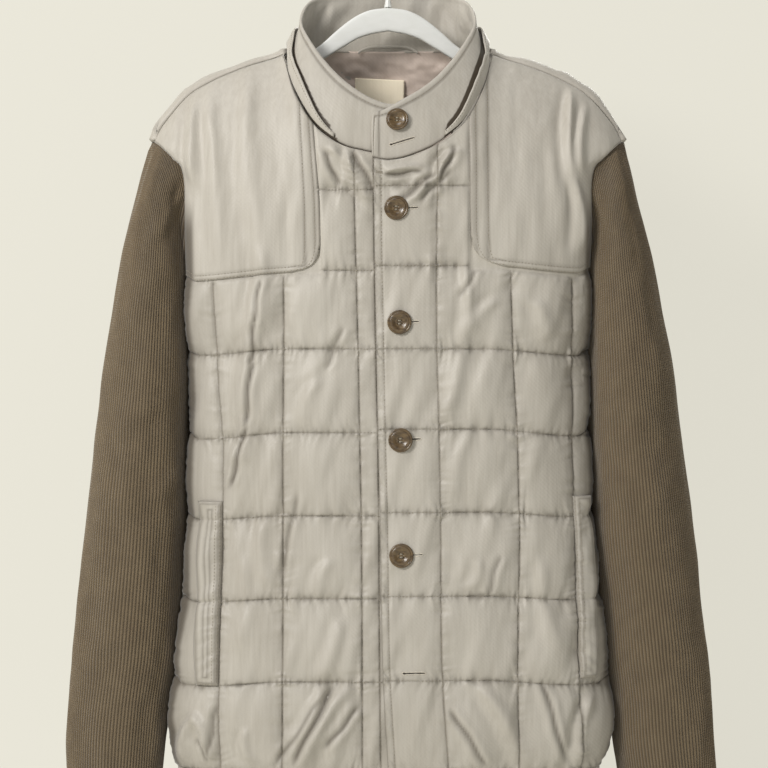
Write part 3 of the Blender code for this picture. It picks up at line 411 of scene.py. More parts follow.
def along_line(x: Array, z: Array, x0: float, z0: float, x1: float, z1: float) -> Path:
    """Each point's share of the way along a line, and its distance to the line's side."""
    length = math.hypot(x1 - x0, z1 - z0)
    way = ((x1 - x0) / length, (z1 - z0) / length)
    return ((x - x0) * way[0] + (z - z0) * way[1]) / length, (x - x0) * way[1] - (z - z0) * way[0]


def fold_relief(folds: Table, x: Array, z: Array) -> Array:
    """The height that the folds give a surface: for each, a soft ridge with half as deep a trough beside it.

    Args:
        folds: Ends, width and height of each fold.
        x: The points' places across.
        z: The points' heights.

    Returns:
        The relief at each point.
    """
    relief = np.zeros(np.broadcast(x, z).shape)
    for k, (*line, width, height) in enumerate(zip(*folds.values())):
        along, off = along_line(x, z, *line)
        off = off + 4.0 * np.sin(np.pi * np.clip(along, 0, 1)) * (1 if k % 2 else -1)
        width = width * (0.75 + 0.35 * smooth(along))
        taper = smooth((along + 0.12) / 0.3) * smooth((1.12 - along) / 0.35)
        relief += height * taper * (bell(off, width) - 0.5 * bell(off - 1.7 * width, width))
    return relief


def creases(x: Array, z: Array) -> tuple[Array, Array]:
    """The sharpest creases, each a narrow groove between soft lips.

    Args:
        x: Places across.
        z: Heights.

    Returns:
        Their relief, and their shade from 0 to 1.
    """
    relief, shade = np.zeros(np.broadcast(x, z).shape), np.zeros(np.broadcast(x, z).shape)
    for x0, z0, x1, z1, width, depth in zip(*CREASES.values()):
        along, off = along_line(x, z, x0, z0, x1, z1)
        off = off + 0.8 * np.sin(along * 9 + x0)
        taper = smooth((along + 0.06) / 0.2) * smooth((1.06 - along) / 0.2)
        lips = bell(np.abs(off) - 2.1 * width, 1.4 * width)
        relief += depth * taper * (0.9 * lips - 0.9 * bell(off, width))
        # Painted shade along each groove.
        shade = np.maximum(shade, taper * np.clip(depth / 2.2, 0, 1) * bell(off, 0.75 * width))
    return relief, shade


def shoulder(depth_below: Array) -> Array:
    """The share of its full depth that the body has at a depth below its ridge, on a quarter ellipse."""
    return root(1 - (1 - np.clip(depth_below / SHOULDER_FALL, 0, 1)) ** 2)


def armhole(side: Side, face: Face, angle: Array) -> Array:
    """Points of the armhole at angles from the underarm, on the front or the back half."""
    out, fore, z = (read(ARMHOLE, "angle", name, angle) for name in ("out", "fore", "z"))
    return np.stack([side.value * out, face.value * fore, z], -1)


def row_angle(face: Face, z: Array, rise: Array) -> Array:
    """The angle round the armhole at which each row of the body would end.

    Args:
        face: Front or back.
        z: Each row's height before it climbs to the shoulder.
        rise: Each row's share of the way from the highest cross seam to the shoulder.

    Returns:
        Angles from the underarm.
    """
    low = np.linspace(0, ARMHOLE_CORNER, 200)
    top = SHOULDER_END if face is Face.FRONT else 180.0
    climbing = ARMHOLE_CORNER + (top - ARMHOLE_CORNER) * rise
    return np.where(rise > 0, climbing, np.interp(z, read(ARMHOLE, "angle", "z", low), low))


def across_armhole(side: Side, angle: Array) -> Array:
    """The way from the body to the sleeve at an angle round the armhole."""
    turn = np.radians(read(ARMHOLE, "angle", "across", angle))
    return np.stack([side.value * np.cos(turn), 0 * turn, -np.sin(turn)], -1)


def row_ends(side: Side, face: Face, z: Array, rise: Array) -> Array:
    """Where rows of the body end, one point for each: at the side seam, or on the armhole.

    Args:
        side: The wearer's side.
        face: Front or back.
        z: The rows' heights.
        rise: Each row's share of the way from the highest cross seam to the shoulder.

    Returns:
        The end points.
    """
    half = read(BODY, "z", side.name.lower(), z)
    on_seam = np.stack([side.value * half, face.value * SEAM_GAP / 2 + 0 * z, z], -1)
    return np.where((z > UNDERARM)[:, None], armhole(side, face, row_angle(face, z, rise)), on_seam)


def side_columns(seam: Array | float, reach: Array, share: Array) -> Array:
    """Distances out of the columns past the last seam, turned evenly round the body to the row's end."""
    start = np.arccos(np.clip(seam / reach, 0, 1) ** (SECTION_POWER / 2))
    return reach * np.cos(start * (1 - share)) ** (2 / SECTION_POWER)


def trunk(side: Side, face: Face, out: Array, z: Array, ends: Array) -> Array:
    """The body's surface: at each height a superellipse from the centre line to the row's end.

    Args:
        side: The wearer's side.
        face: Front or back.
        out: Distances from the centre line, a row for each height.
        z: The points' heights.
        ends: The rows' ends.

    Returns:
        The points.
    """
    reach, depth_end = np.abs(ends[:, :1]), np.abs(ends[:, 1:2])
    depth = read(BODY, "z", face.name.lower(), z)
    depth = depth * shoulder(read(RIDGE, "out", "z", np.abs(out)) - z)
    bulge = (1 - np.clip(np.abs(out) / reach, 0, 1) ** SECTION_POWER) ** (1 / SECTION_POWER)
    y = face.value * (depth_end + (depth - depth_end) * bulge)
    return np.stack([side.value * out, y, z + 0 * out], -1)


def settle(out: Array, z: Array, reach: Array) -> Array:
    """How far a cross seam hangs below its height at the middle; the side seam holds its end up."""
    fall = read(DROOP, "z", "fall", z) * smooth((np.abs(out) - 95) / 90)
    return fall * (1 - smooth((np.abs(out) - reach + 12) / 12))


def half_body(side: Side, face: Face, out: Array, rows: Path, top: Array, ends: Array) -> Array:
    """One half of the front or back, its cross seams hung and its rows drawn to their ends.

    Args:
        side: The wearer's side.
        face: Front or back.
        out: Distances from the centre line.
        rows: The rows' heights before they climb, and their shares of the climb.
        top: The height of the top edge at each point.
        ends: The rows' ends.

    Returns:
        The points.
    """
    z, rise = (values[:, None] for values in rows)
    reach = np.abs(ends[:, :1])
    height = z + rise * (top - z) - (1 - rise) * settle(out, z, reach)
    height += (ends[:, 2] - height[:, -1])[:, None] * np.clip(out / reach, 0, 1) ** 6
    grid = trunk(side, face, out, height, ends)
    grid[:, -1] = ends
    return grid


def puff(across: Array, up: Array) -> Array:
    """A quilted cell's rise from 0 to 1: the root of 4t(1 - t) both ways, t being the place in the cell."""
    s, t = across % 1, up % 1
    return root(4 * s * (1 - s)) * root(4 * t * (1 - t))


def puckers(along: Array, near: Array, seam: Array, seed: int) -> Array:
    """Small gathers that run off a seam: slanted noise along it, which fades over 3 to 14 mm from it.

    Args:
        along: Places along the seam.
        near: Distances from the nearest seam.
        seam: That seam's number, which gives each seam gathers of its own.
        seed: The noise's seed.

    Returns:
        The gathers' rise, from about -1.6 to 1.6.
    """
    lean = along + 0.5 * near * wander(along / 37 + seam * 7.7, seed + 2)
    grain = wander(lean / 2.9 + seam * 17.3, seed) + 0.8 * wander(lean / 6.5 + seam * 5.1, seed + 1)
    reach = 5.5 + 4.0 * wander(along / 12 + seam * 3.3, seed + 3)
    return grain * np.exp(-near / reach) * (1 - np.exp(-near / 0.9))


def gathers(x: Array, z: Array, near_row: Path, near_column: Path, seed: int, second: int) -> Array:
    """The puckers of the cross seams, and weaker ones of the seams that run down."""
    down = puckers(z, near_column[0], near_column[1] + 20, second)
    return puckers(x, near_row[0], near_row[1], seed) + 0.75 * down


def nearest(values: Array, seams: Array) -> Path:
    """The distance from each value to the nearest of some seams, and that seam's number.

    Args:
        values: The points' places, as a grid.
        seams: The seams' places, the last axis counting the seams; the others match the grid.

    Returns:
        Distances and seam numbers.
    """
    far = np.abs(values[..., None] - seams)
    return far.min(-1), far.argmin(-1).astype(float)


def turned_edge(rim: Array, radius: float, least: float) -> Array:
    """The share of its thickness that folded cloth has near its edge: a quarter circle over the radius."""
    return np.sqrt(np.clip(1 - (1 - np.clip(rim / radius, 0, 1)) ** 2, least, 1))


def round_corner(p: Array, q: Array, radius: float) -> tuple[Array, Array]:
    """Distances in from two edges, drawn in to a quarter circle where the edges meet.

    Args:
        p: Distances in from the first edge.
        q: Distances in from the second edge.
        radius: The quarter circle's radius.

    Returns:
        Both distances after rounding.
    """
    u, v = np.clip(1 - p / radius, 0, 1), np.clip(1 - q / radius, 0, 1)
    corner = (u > 0) & (v > 0)
    p = np.where(corner, radius * (1 - u * np.sqrt(1 - v * v / 2)), p)
    return p, np.where(corner, radius * (1 - v * np.sqrt(1 - u * u / 2)), q)


def quads(index: Array, flip: bool = False) -> Faces:
    """The faces between neighbours in a grid of point numbers."""
    faces = np.stack([index[:-1, :-1], index[:-1, 1:], index[1:, 1:], index[1:, :-1]], -1).reshape(-1, 4)
    return faces[:, [0, 3, 2, 1] if flip else [0, 1, 2, 3]].tolist()


def closed(index: Array) -> Array:
    """A grid of point numbers whose first column comes again at its end."""
    return np.concatenate([index, index[:, :1]], 1)


def join_rings(edge: Array, inside: Array) -> Faces:
    """Faces from a ring of points to a coarser one: a fan at each coarse point, then a step to the next.

    Args:
        edge: The fine ring's point numbers.
        inside: The coarser ring's point numbers.

    Returns:
        The triangles.
    """
    step = len(edge) // len(inside)
    run = edge[(np.arange(len(inside))[:, None] * step + np.arange(step + 1)[None, :]) % len(edge)]
    fans = np.stack([run[:, 1:], run[:, :-1], np.repeat(inside[:, None], step, 1)], -1).reshape(-1, 3)
    return fans.tolist() + np.stack([inside, np.roll(inside, -1), run[:, -1]], -1).tolist()


def slab_faces(rows: int, columns: int, step: int) -> Faces:
    """Faces of a closed slab: a fine outer grid, an inner grid of every `step`-th point, and fanned rims.

    Args:
        rows: The outer grid's rows.
        columns: The outer grid's columns.
        step: The inner grid's step.

    Returns:
        The faces, the outer grid's points numbered first.
    """
    inner_rows, inner_columns = (rows - 1) // step + 1, (columns - 1) // step + 1
    fine = np.arange(rows * columns).reshape(rows, columns)
    coarse = fine.size + np.arange(inner_rows * inner_columns).reshape(inner_rows, inner_columns)
    edge, inside = (
        np.concatenate([index[0, :-1], index[:-1, -1], index[-1, :0:-1], index[:0:-1, 0]])
        for index in (fine, coarse)
    )
    return quads(fine) + quads(coarse, True) + join_rings(edge, inside)


def tube_faces(rows: int, columns: int) -> Faces:
    """Faces of a tube of rings, closed round, its ends fanned to two last points.

    Args:
        rows: The rings.
        columns: The points in a ring.

    Returns:
        The faces, the two last points numbered after the rings.
    """
    index = closed(np.arange(rows * columns).reshape(rows, columns))
    faces = quads(index, True)
    faces += [(rows * columns, int(a), int(b)) for a, b in zip(index[0], index[0, 1:])]
    return faces + [(rows * columns + 1, int(b), int(a)) for a, b in zip(index[-1], index[-1, 1:])]


def capped(rings: Array) -> Array:
    """A tube's points, one a row, with the middles of its end rings last."""
    return np.concatenate([rings.reshape(-1, 3), rings[0].mean(0)[None], rings[-1].mean(0)[None]])


def in_scene(name: str, data: bpy.types.ID) -> bpy.types.Object:
    """A new object of the scene."""
    made = bpy.data.objects.new(name, data)
    bpy.context.scene.collection.objects.link(made)
    return made


@dataclass
class Piece:
    """A finished piece of the jacket: its mesh, what it stands for and how its cloth lies."""

    name: str
    slot: str
    replaces: tuple[str, ...] = ()

    def mesh(
        self, points: Array, faces: Faces, material: bpy.types.Material, uv: Array | None = None
    ) -> bpy.types.Object:
        """Make the object from points in millimetres, let it ride, and report it.

        Args:
            points: All points.
            faces: Faces as lists of point numbers.
            material: The finish.
            uv: Coordinates at each point for the material, a knit pattern's or masks of painted shade, if the
                material reads them.

        Returns:
            The new object.
        """
        data = bpy.data.meshes.new(self.name)
        data.from_pydata((points.reshape(-1, 3) * MM).tolist(), [], faces)
        data.validate()
        if uv is not None:
            corner = np.empty(len(data.loops), dtype=np.int32)
            data.loops.foreach_get("vertex_index", corner)
            data.uv_layers.new(name="cloth").data.foreach_set("uv", uv[corner].astype(np.float32).ravel())
        data.shade_smooth()
        data.materials.append(material)
        made = in_scene(self.name, data)
        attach(made, "root")
        if self.replaces:
            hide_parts(*self.replaces)
        LOG.info("%s: %d faces", self.name, len(data.polygons))
        return made

    def slab(
        self, outer: Array, inner: Array, material: bpy.types.Material, step: int = 1, turn: bool = False,
        uv: Array | None = None,
    ) -> bpy.types.Object:
        """A wall of cloth between an outer surface and an inner one that were worked out on one grid.

        Args:
            outer: The outer grid of points.
            inner: The inner grid, of which every `step`-th point is kept.
            material: The finish.
            step: How much coarser the inner side is.
            turn: Whether the grid runs the other way round.
            uv: Masks of painted shade at each point of the outer grid, carried as pattern coordinates; the
                inner side gets none.

        Returns:
            The new object.
        """
        kept = ((n, (n - 1) // step * step + 1) for n in outer.shape[:2])
        keep = np.ix_(*(np.linspace(0, n - 1, count).round().astype(int) for n, count in kept))
        outer, inner = outer[keep], inner[keep]
        faces = slab_faces(*outer.shape[:2], step)
        if turn:
            faces = [face[::-1] for face in faces]
        points = np.concatenate([outer.reshape(-1, 3), inner[::step, ::step].reshape(-1, 3)])
        if uv is not None:
            uv = uv[keep]
            uv = np.concatenate([uv.reshape(-1, 2), 0 * uv[::step, ::step].reshape(-1, 2)])
        return self.mesh(points, faces, material, uv)


def colour(shade: Shade) -> tuple[float, float, float, float]:
    """A colour in linear light from its parts between 0 and 255."""
    linear = [((c / 255 + 0.055) / 1.055) ** 2.4 if c > 10 else c / 255 / 12.92 for c in shade]
    return (*linear, 1.0)


class Wiring:
    """A small helper that adds and joins the nodes of one node tree."""

    def __init__(self, tree: bpy.types.NodeTree) -> None:
        """Keep the tree that the nodes go into."""
        self.tree = tree

    def fill(self, node: bpy.types.Node, values: dict) -> None:
        """Give inputs of a node their values, each a number, a colour or another node's output.

        Args:
            node: The node.
            values: The values by the inputs' names or numbers.
        """
        for name, value in values.items():
            if isinstance(value, bpy.types.NodeSocket):
                self.tree.links.new(value, node.inputs[name])
            else:
                node.inputs[name].default_value = value

    def add(self, kind: str, values: dict | None = None, **settings: object) -> bpy.types.Node:
        """Add a shader node.

        Args:
            kind: The node's type.
            values: Its inputs, each a value or another node's output.
            settings: Its own properties.

        Returns:
            The node.
        """
        node = self.tree.nodes.new("ShaderNode" + kind)
        for name, value in settings.items():
            setattr(node, name, value)
        self.fill(node, values or {})
        return node

    def sums(self, value: object, *steps: object, clamp: bool = False) -> bpy.types.NodeSocket:
        """A chain of calculations.

        Args:
            value: What it starts from.
            steps: Each calculation's name and then its second value, in turn.
            clamp: Whether the last result is held between 0 and 1.

        Returns:
            The last result.
        """
        for k in range(0, len(steps), 2):
            last = clamp and k == len(steps) - 2
            node = self.add("Math", {0: value, 1: steps[k + 1]}, operation=steps[k], use_clamp=last)
            value = node.outputs[0]
        return value

    def blend(self, share: object, first: object, second: object) -> bpy.types.NodeSocket:
        """A mix of two colours."""
        return self.add("Mix", {0: share, 6: first, 7: second}, data_type="RGBA").outputs[2]

    def stretch(self, place: bpy.types.NodeSocket, scale: Place) -> bpy.types.NodeSocket:
        """Coordinates scaled along each axis, which draws a pattern out."""
        return self.add("VectorMath", {0: place, 1: scale}, operation="MULTIPLY").outputs[0]

    def noise(
        self, place: object, scale: object, detail: float, rough: float = 0.5, warp: float = 0.0
    ) -> bpy.types.NodeSocket:
        """Soft noise of a scale, as a value about a half."""
        values = {"Vector": place, "Scale": scale, "Detail": detail, "Roughness": rough, "Distortion": warp}
        return self.add("TexNoise", values).outputs["Fac"]

    def bump(self, height: object, strength: float, distance: float) -> bpy.types.NodeSocket:
        """The normal of a surface that a height raises."""
        return self.add("Bump", {"Height": height, "Strength": strength, "Distance": distance}).outputs[0]


def group(name: str, inputs: dict[str, float]) -> tuple[bpy.types.NodeTree, Wiring, object, object]:
    """A new node group that makes a height and a shade from a vector and some numbers.

    Args:
        name: The group's name.
        inputs: Its number inputs and what they start at.

    Returns:
        The tree, its wiring, what its inputs give, and the node that takes its results.
    """
    tree = bpy.data.node_groups.new(name, "ShaderNodeTree")
    tree.interface.new_socket("Vector", in_out="INPUT", socket_type="NodeSocketVector")
    for label, value in inputs.items():
        tree.interface.new_socket(label, in_out="INPUT", socket_type="NodeSocketFloat").default_value = value
    for label in ("Height", "Shade"):
        tree.interface.new_socket(label, in_out="OUTPUT", socket_type="NodeSocketFloat")
    given, results = (tree.nodes.new(kind) for kind in ("NodeGroupInput", "NodeGroupOutput"))
    return tree, Wiring(tree), given.outputs, results


def streak_group() -> bpy.types.NodeTree:
    """Thin woven cloth: a plain weave and crinkles drawn out along the height, as a height and a shade.

    Returns:
        The group, shared by all pieces of thin cloth.
    """
    inputs = {"Thread": 1500.0, "Streak": 260.0, "Blotch": 11.0, "Crinkle": 0.5}
    tree, wires, given, results = group("woven_streaks", inputs)
    long, soft = (wires.stretch(given["Vector"], (1, 1, drawn)) for drawn in (0.07, 0.3))
    fine = wires.noise(long, given["Streak"], 4.0, 0.6)
    broad = wires.noise(soft, given["Blotch"], 3.0, 0.55)
    crease = wires.noise(soft, wires.sums(given["Streak"], "MULTIPLY", 0.25), 2.0)
    crinkle = wires.sums(crease, "SUBTRACT", 0.5, "ABSOLUTE", 0.0, "MULTIPLY", given["Crinkle"])
    parts = wires.add("SeparateXYZ", {0: given["Vector"]}).outputs
    warp, weft = (wires.sums(parts[axis], "MULTIPLY", given["Thread"], "SINE", 0.0) for axis in "XZ")
    weave = wires.sums(warp, "MULTIPLY", weft, "MULTIPLY", 0.06)
    height = wires.sums(fine, "MULTIPLY", 0.45, "ADD", crinkle, "ADD", weave)
    shade = wires.sums(fine, "MULTIPLY", 0.5, "ADD", wires.sums(broad, "MULTIPLY", 0.5))
    wires.fill(results, {"Height": height, "Shade": shade})
    return tree


def loop_group() -> bpy.types.NodeTree:
    """Rib knit on the piece's own map (ribs across, metres along): loops as slanted hairs, and fuzz.

    Returns:
        The group, shared by both sleeves.
    """
    tree, wires, given, results = group("knit_loops", {"Ribs": 1.0, "Loops": 420.0, "Fuzz": 1.0})
    parts = wires.add("SeparateXYZ", {0: given["Vector"]}).outputs
    ribs, rows = (wires.sums(given[name], "MULTIPLY", 2 * math.pi) for name in ("Ribs", "Loops"))
    slant = wires.sums(parts["X"], "MULTIPLY", ribs, "SINE", 0.0, "ABSOLUTE", 0.0, "MULTIPLY", 1.4)
    loops = wires.sums(parts["Y"], "MULTIPLY", rows, "ADD", slant, "SINE", 0.0)
    drawn = wires.stretch(given["Vector"], (0.004, 1, 1))
    hair = wires.sums(wires.noise(drawn, 900.0, 3.0, 0.7), "MULTIPLY", given["Fuzz"])
    blotch = wires.sums(wires.noise(drawn, 42.0, 3.0, 0.6), "MULTIPLY", 0.55)
    height = wires.sums(loops, "MULTIPLY", 0.25, "ADD", hair)
    wires.fill(results, {"Height": height, "Shade": wires.sums(hair, "MULTIPLY", 0.45, "ADD", blotch)})
    return tree


def principled(name: str) -> tuple[bpy.types.Material, Wiring, bpy.types.Node]:
    """A new material, its wiring and its shader."""
    made = bpy.data.materials.new(name)
    made.use_nodes = True
    return made, Wiring(made.node_tree), made.node_tree.nodes["Principled BSDF"]


@dataclass(frozen=True)
class ClothFinish:
    """Thin woven cloth in two tones, with crinkles and a soft sheen; given a seam colour, it mixes in painted
    shade from the piece's masks along seams, creases, clefts and slots.
    """

    name: str
    light: Shade
    dark: Shade
    roughness: float = 0.5
    crinkle: float = 0.5
    bump: float = 0.35
    sheen: float = 0.25
    streak: float = 260.0
    # Colour of the painted shade that the masks mix in; none for cloth without masks.
    seam: Shade | None = None

    def build(self, weave: bpy.types.NodeTree) -> bpy.types.Material:
        """The material: the weave group's shade mixes the two colours, its height bumps the surface.

        Args:
            weave: The shared group of woven cloth.

        Returns:
            The material.
        """
        made, wires, shader = principled(self.name)
        place = wires.add("TexCoord").outputs["Object"]
        inputs = {"Vector": place, "Crinkle": self.crinkle, "Streak": self.streak}
        cloth = wires.add("Group", inputs, node_tree=weave).outputs
        share = wires.sums(cloth["Shade"], "SUBTRACT", 0.3, "MULTIPLY", 2.4, clamp=True)
        tint = wires.blend(share, colour(self.dark), colour(self.light))
        # Painted shade: the narrow and broad masks of the cloth map darken the colour towards the
        # painted-shade colour.
        if self.seam:
            near = wires.add("SeparateXYZ", {0: wires.add("UVMap", uv_map="cloth").outputs[0]}).outputs
            for axis, strength in (("Y", 0.19), ("X", 0.78)):
                share = wires.sums(near[axis], "MULTIPLY", strength, clamp=True)
                tint = wires.blend(share, tint, colour(self.seam))
        wires.fill(shader, {
            "Base Color": tint,
            "Roughness": wires.sums(cloth["Shade"], "MULTIPLY", 0.2, "ADD", self.roughness - 0.1),
            "Normal": wires.bump(cloth["Height"], self.bump, 0.0008),
            "Sheen Weight": self.sheen, "Sheen Roughness": 0.4, "Specular IOR Level": 0.35,
        })
        return made


@dataclass(frozen=True)
class KnitFinish:
    """Rib knit: wool in two tones on the ribs, and painted shade in the furrows between them, on the piece's
    own map.
    """

    name: str
    light: Shade
    dark: Shade
    # Colour of the painted shade in the furrows.
    furrow: Shade

    def build(self, loops: bpy.types.NodeTree) -> bpy.types.Material:
        """The material: loops and fuzz mottle the ribs, and painted shade darkens the furrows between them.

        Args:
            loops: The shared group of knitted loops.

        Returns:
            The material.
        """
        made, wires, shader = principled(self.name)
        place = wires.add("UVMap", uv_map="cloth").outputs[0]
        knit = wires.add("Group", {"Vector": place}, node_tree=loops).outputs
        share = wires.sums(knit["Shade"], "SUBTRACT", 0.3, "MULTIPLY", 2.5, clamp=True)
        wool = wires.blend(share, colour(self.dark), colour(self.light))
        # Painted shade, darkest in the furrows where the ribs' relief sinks to nothing.
        turn = wires.sums(wires.add("SeparateXYZ", {0: place}).outputs["X"], "MULTIPLY", 2 * math.pi)
        deep = wires.sums(turn, "COSINE", 0.0, "MULTIPLY", 0.5, "ADD", 0.5, "POWER", 2.2, "MULTIPLY", 0.7)
        wires.fill(shader, {
            "Base Color": wires.blend(deep, wool, colour(self.furrow)),
            "Normal": wires.bump(knit["Height"], 0.9, 0.0009),
            "Roughness": 0.85, "Sheen Weight": 0.35, "Sheen Roughness": 0.5, "Specular IOR Level": 0.2,
        })
        return made


@dataclass(frozen=True)
class SolidFinish:
    """A hard finish, mottled by soft noise, such as the buttons' and the hanger's."""

    name: str
    light: Shade
    dark: Shade
    roughness: float
    grain: float
    coat: float = 0.0

    def build(self) -> bpy.types.Material:
        """The material: two shades mixed by noise that is drawn out a little across the piece.

        Returns:
            The material.
        """
        made, wires, shader = principled(self.name)
        place = wires.stretch(wires.add("TexCoord").outputs["Object"], (1, 1, 2.4))
        noise = wires.noise(place, self.grain, 5.0, warp=0.6)
        share = wires.sums(noise, "SUBTRACT", 0.32, "MULTIPLY", 2.6, clamp=True)
        wires.fill(shader, {
            "Base Color": wires.blend(share, colour(self.dark), colour(self.light)),
            "Roughness": wires.sums(noise, "MULTIPLY", 0.14, "ADD", self.roughness - 0.07),
            "Normal": wires.bump(noise, 0.1, 0.0004),
            "Coat Weight": self.coat, "Coat Roughness": 0.2,
        })
        return made


class Wardrobe:
    """All finishes, each built once."""

    def __init__(self) -> None:
        """Build the shared groups and every material."""
        weave, loops = streak_group(), loop_group()
        # seam is the colour of the painted shade in the quilted cloth's seams, creases, clefts and slots.
        light, dark, seam = (195, 190, 180), (176, 170, 159), (72, 63, 51)
        self.shell = ClothFinish("stone_nylon", light, dark, 0.46, 0.55, 0.45, 0.3).build(weave)
        quilted = ClothFinish("stone_nylon_quilted", light, dark, 0.46, 0.75, 0.75, 0.3, seam=seam)
        self.quilted = quilted.build(weave)
        light, dark = (193, 188, 178), (177, 171, 160)
        self.trim = ClothFinish("stone_nylon_smooth", light, dark, 0.44, 0.3, 0.35, 0.3).build(weave)
        light, dark = (218, 202, 190), (192, 176, 164)
        self.lining = ClothFinish("mauve_lining", light, dark, 0.36, 0.9, 0.5, 0.3, 120.0).build(weave)
        # The third colour is the painted shade of the furrows.
        self.knit = KnitFinish("taupe_rib_knit", (130, 114, 89), (107, 92, 71), (66, 55, 40)).build(loops)
        light, dark = (168, 160, 144), (142, 133, 117)
        self.thread = ClothFinish("stone_thread", light, dark, 0.6, 0.2, 0.2, 0.1).build(weave)
        light, dark = (240, 234, 220), (214, 206, 190)
        self.pale_thread = ClothFinish("pale_thread", light, dark, 0.6, 0.2, 0.2, 0.1).build(weave)
        light, dark = (254, 243, 219), (246, 234, 208)
        self.label = ClothFinish("blank_tape", light, dark, 0.7, 0.2, 0.4, 0.1, 500.0).build(weave)
        self.horn = SolidFinish("brown_horn", (112, 92, 62), (68, 53, 34), 0.3, 190.0, 0.25).build()
        self.plastic = SolidFinish("white_satin", (224, 225, 222), (219, 220, 216), 0.38, 60.0).build()
        # A dark sheet of painted shadow fills each buttonhole's slit.
        self.shadow = SolidFinish("painted_slit_shadow", (60, 50, 38), (44, 36, 27), 0.8, 200.0).build()


def painted_seam_shade(near: Array, share: float) -> Array:
    """Masks of painted shade, carried as pattern coordinates, from how close each point lies to a seam.

    Args:
        near: Distances from the nearest seam.
        share: How much of the seam's shade the points get.

    Returns:
        A narrow mask of painted shade and a broad one.
    """
    return np.stack([bell(near, 1.0) * share, np.exp(-near / 6.0) * share], -1)


def quilt_shade(near_row: Path, near_column: Path, along: Array, share: Array) -> Array:
    """The quilting's painted shade: fine dark lines down its long seams, and rows of uneven ticks on the
    cross seams, where the pinched valleys fall in shade.

    Args:
        near_row: Distances to the nearest cross seam, and its number.
        near_column: The same for the seams that run down.
        along: Places across, in millimetres.
        share: How much of the shade each point gets.

    Returns:
        A narrow mask of painted shade and a broad one.
    """
    tick = np.clip(0.5 + 0.85 * wander(along / 1.6 + near_row[1] * 9.1, 77), 0, 1)
    row = bell(near_row[0], 0.7 + 2.8 * tick**2) * (0.16 + 0.42 * tick)
    fine = np.maximum(row, bell(near_column[0], 0.9) * 0.66)
    return np.stack([fine * share, np.exp(-np.minimum(near_row[0], near_column[0]) / 6.0) * share], -1)


def stitched_shade(rim: Array) -> Array:
    """The painted shade of a laid panel: darker at its edge and along its two rows of stitches."""
    near = np.minimum(*(np.abs(rim - row) for row in TOPSTITCH))
    return painted_seam_shade(np.minimum(near, rim * 0.7), 0.55) * np.array([1.0, 0.5])


def darken(shade: Array, *masks: Array) -> None:
    """Bring the narrow mask of painted shade up to some others."""
    for mask in masks:
        shade[..., 0] = np.maximum(shade[..., 0], mask)


@dataclass
class Sewing:
    """Rows of stitches, each stitch a short bead of thread that lies in its seam."""

    thread: bpy.types.Material
    pitch: float = 3.3
    length: float = 2.5
    thick: float = 0.42
    sink: float = 0.12

    def stitches(self, points: Array, normals: Array) -> Array:
        """The six corners of every stitch along one path.

        Args:
            points: The path, in millimetres.
            normals: The surface's normals along it.

        Returns:
            One row of six points for each stitch.
        """
        reach = np.concatenate([[0.0], np.linalg.norm(np.diff(points, axis=0), axis=1).cumsum()])
        middles = np.arange(self.pitch / 2, reach[-1] - self.pitch / 2, self.pitch)
        near, middle, far, up = (
            np.stack([np.interp(middles + ahead, reach, column) for column in values.T], -1)
            for ahead, values in (
                (-self.length / 2, points), (0.0, points), (self.length / 2, points), (0.0, normals)
            )
        )
        up = unit(up)
        across, sunk = unit(np.cross(up, far - near)) * self.thick, middle + up * self.sink
        raised, buried = middle + up * (self.thick * 0.9 + self.sink), middle - up * self.thick
        return np.stack([near, far, sunk + across, sunk - across, raised, buried], 1)

    def build(self, name: str, runs: list[Path]) -> None:
        """Join all stitches of some paths into one piece.

        Args:
            name: The piece's name.
            runs: Paths of points and their normals.
        """
        beads = np.concatenate([self.stitches(*run) for run in runs if len(run[0]) > 3])
        ring = [(0, 2), (2, 1), (1, 3), (3, 0)]
        corners = np.array([(a, b, 4) for a, b in ring] + [(b, a, 5) for a, b in ring])
        faces = (np.arange(len(beads))[:, None, None] * 6 + corners[None, :, ::-1]).reshape(-1, 3)
        Piece(name, "shell").mesh(beads, faces.tolist(), self.thread)


@dataclass(frozen=True)
class FrontSizes:
    """What differs between the two fronts; pairs run from top to foot."""

    placket: tuple[float, ...]
    seed: int
    yoke_inner: tuple[float, float]
    yoke_foot: float
    yoke_slope: float
    cleft: float
    welt_ends: tuple[float, float]
    welt_inner: tuple[float, float]
    welt_outer: tuple[float, float]


FRONT_SIZES = {
    Side.RIGHT: FrontSizes(
        (0.0, 2.4), 31, (73.0, 64.5), 4.0, 5.0, 8.0, (-568.7, -749.5), (160.8, 165.6), (181.9, 186.8)
    ),
    Side.LEFT: FrontSizes(
        (2.0,), 11, (79.0, 80.0), 0.5, 0.0, 5.0, (-563.8, -742.7), (180.4, 187.0), (194.4, 203.2)
    ),
}


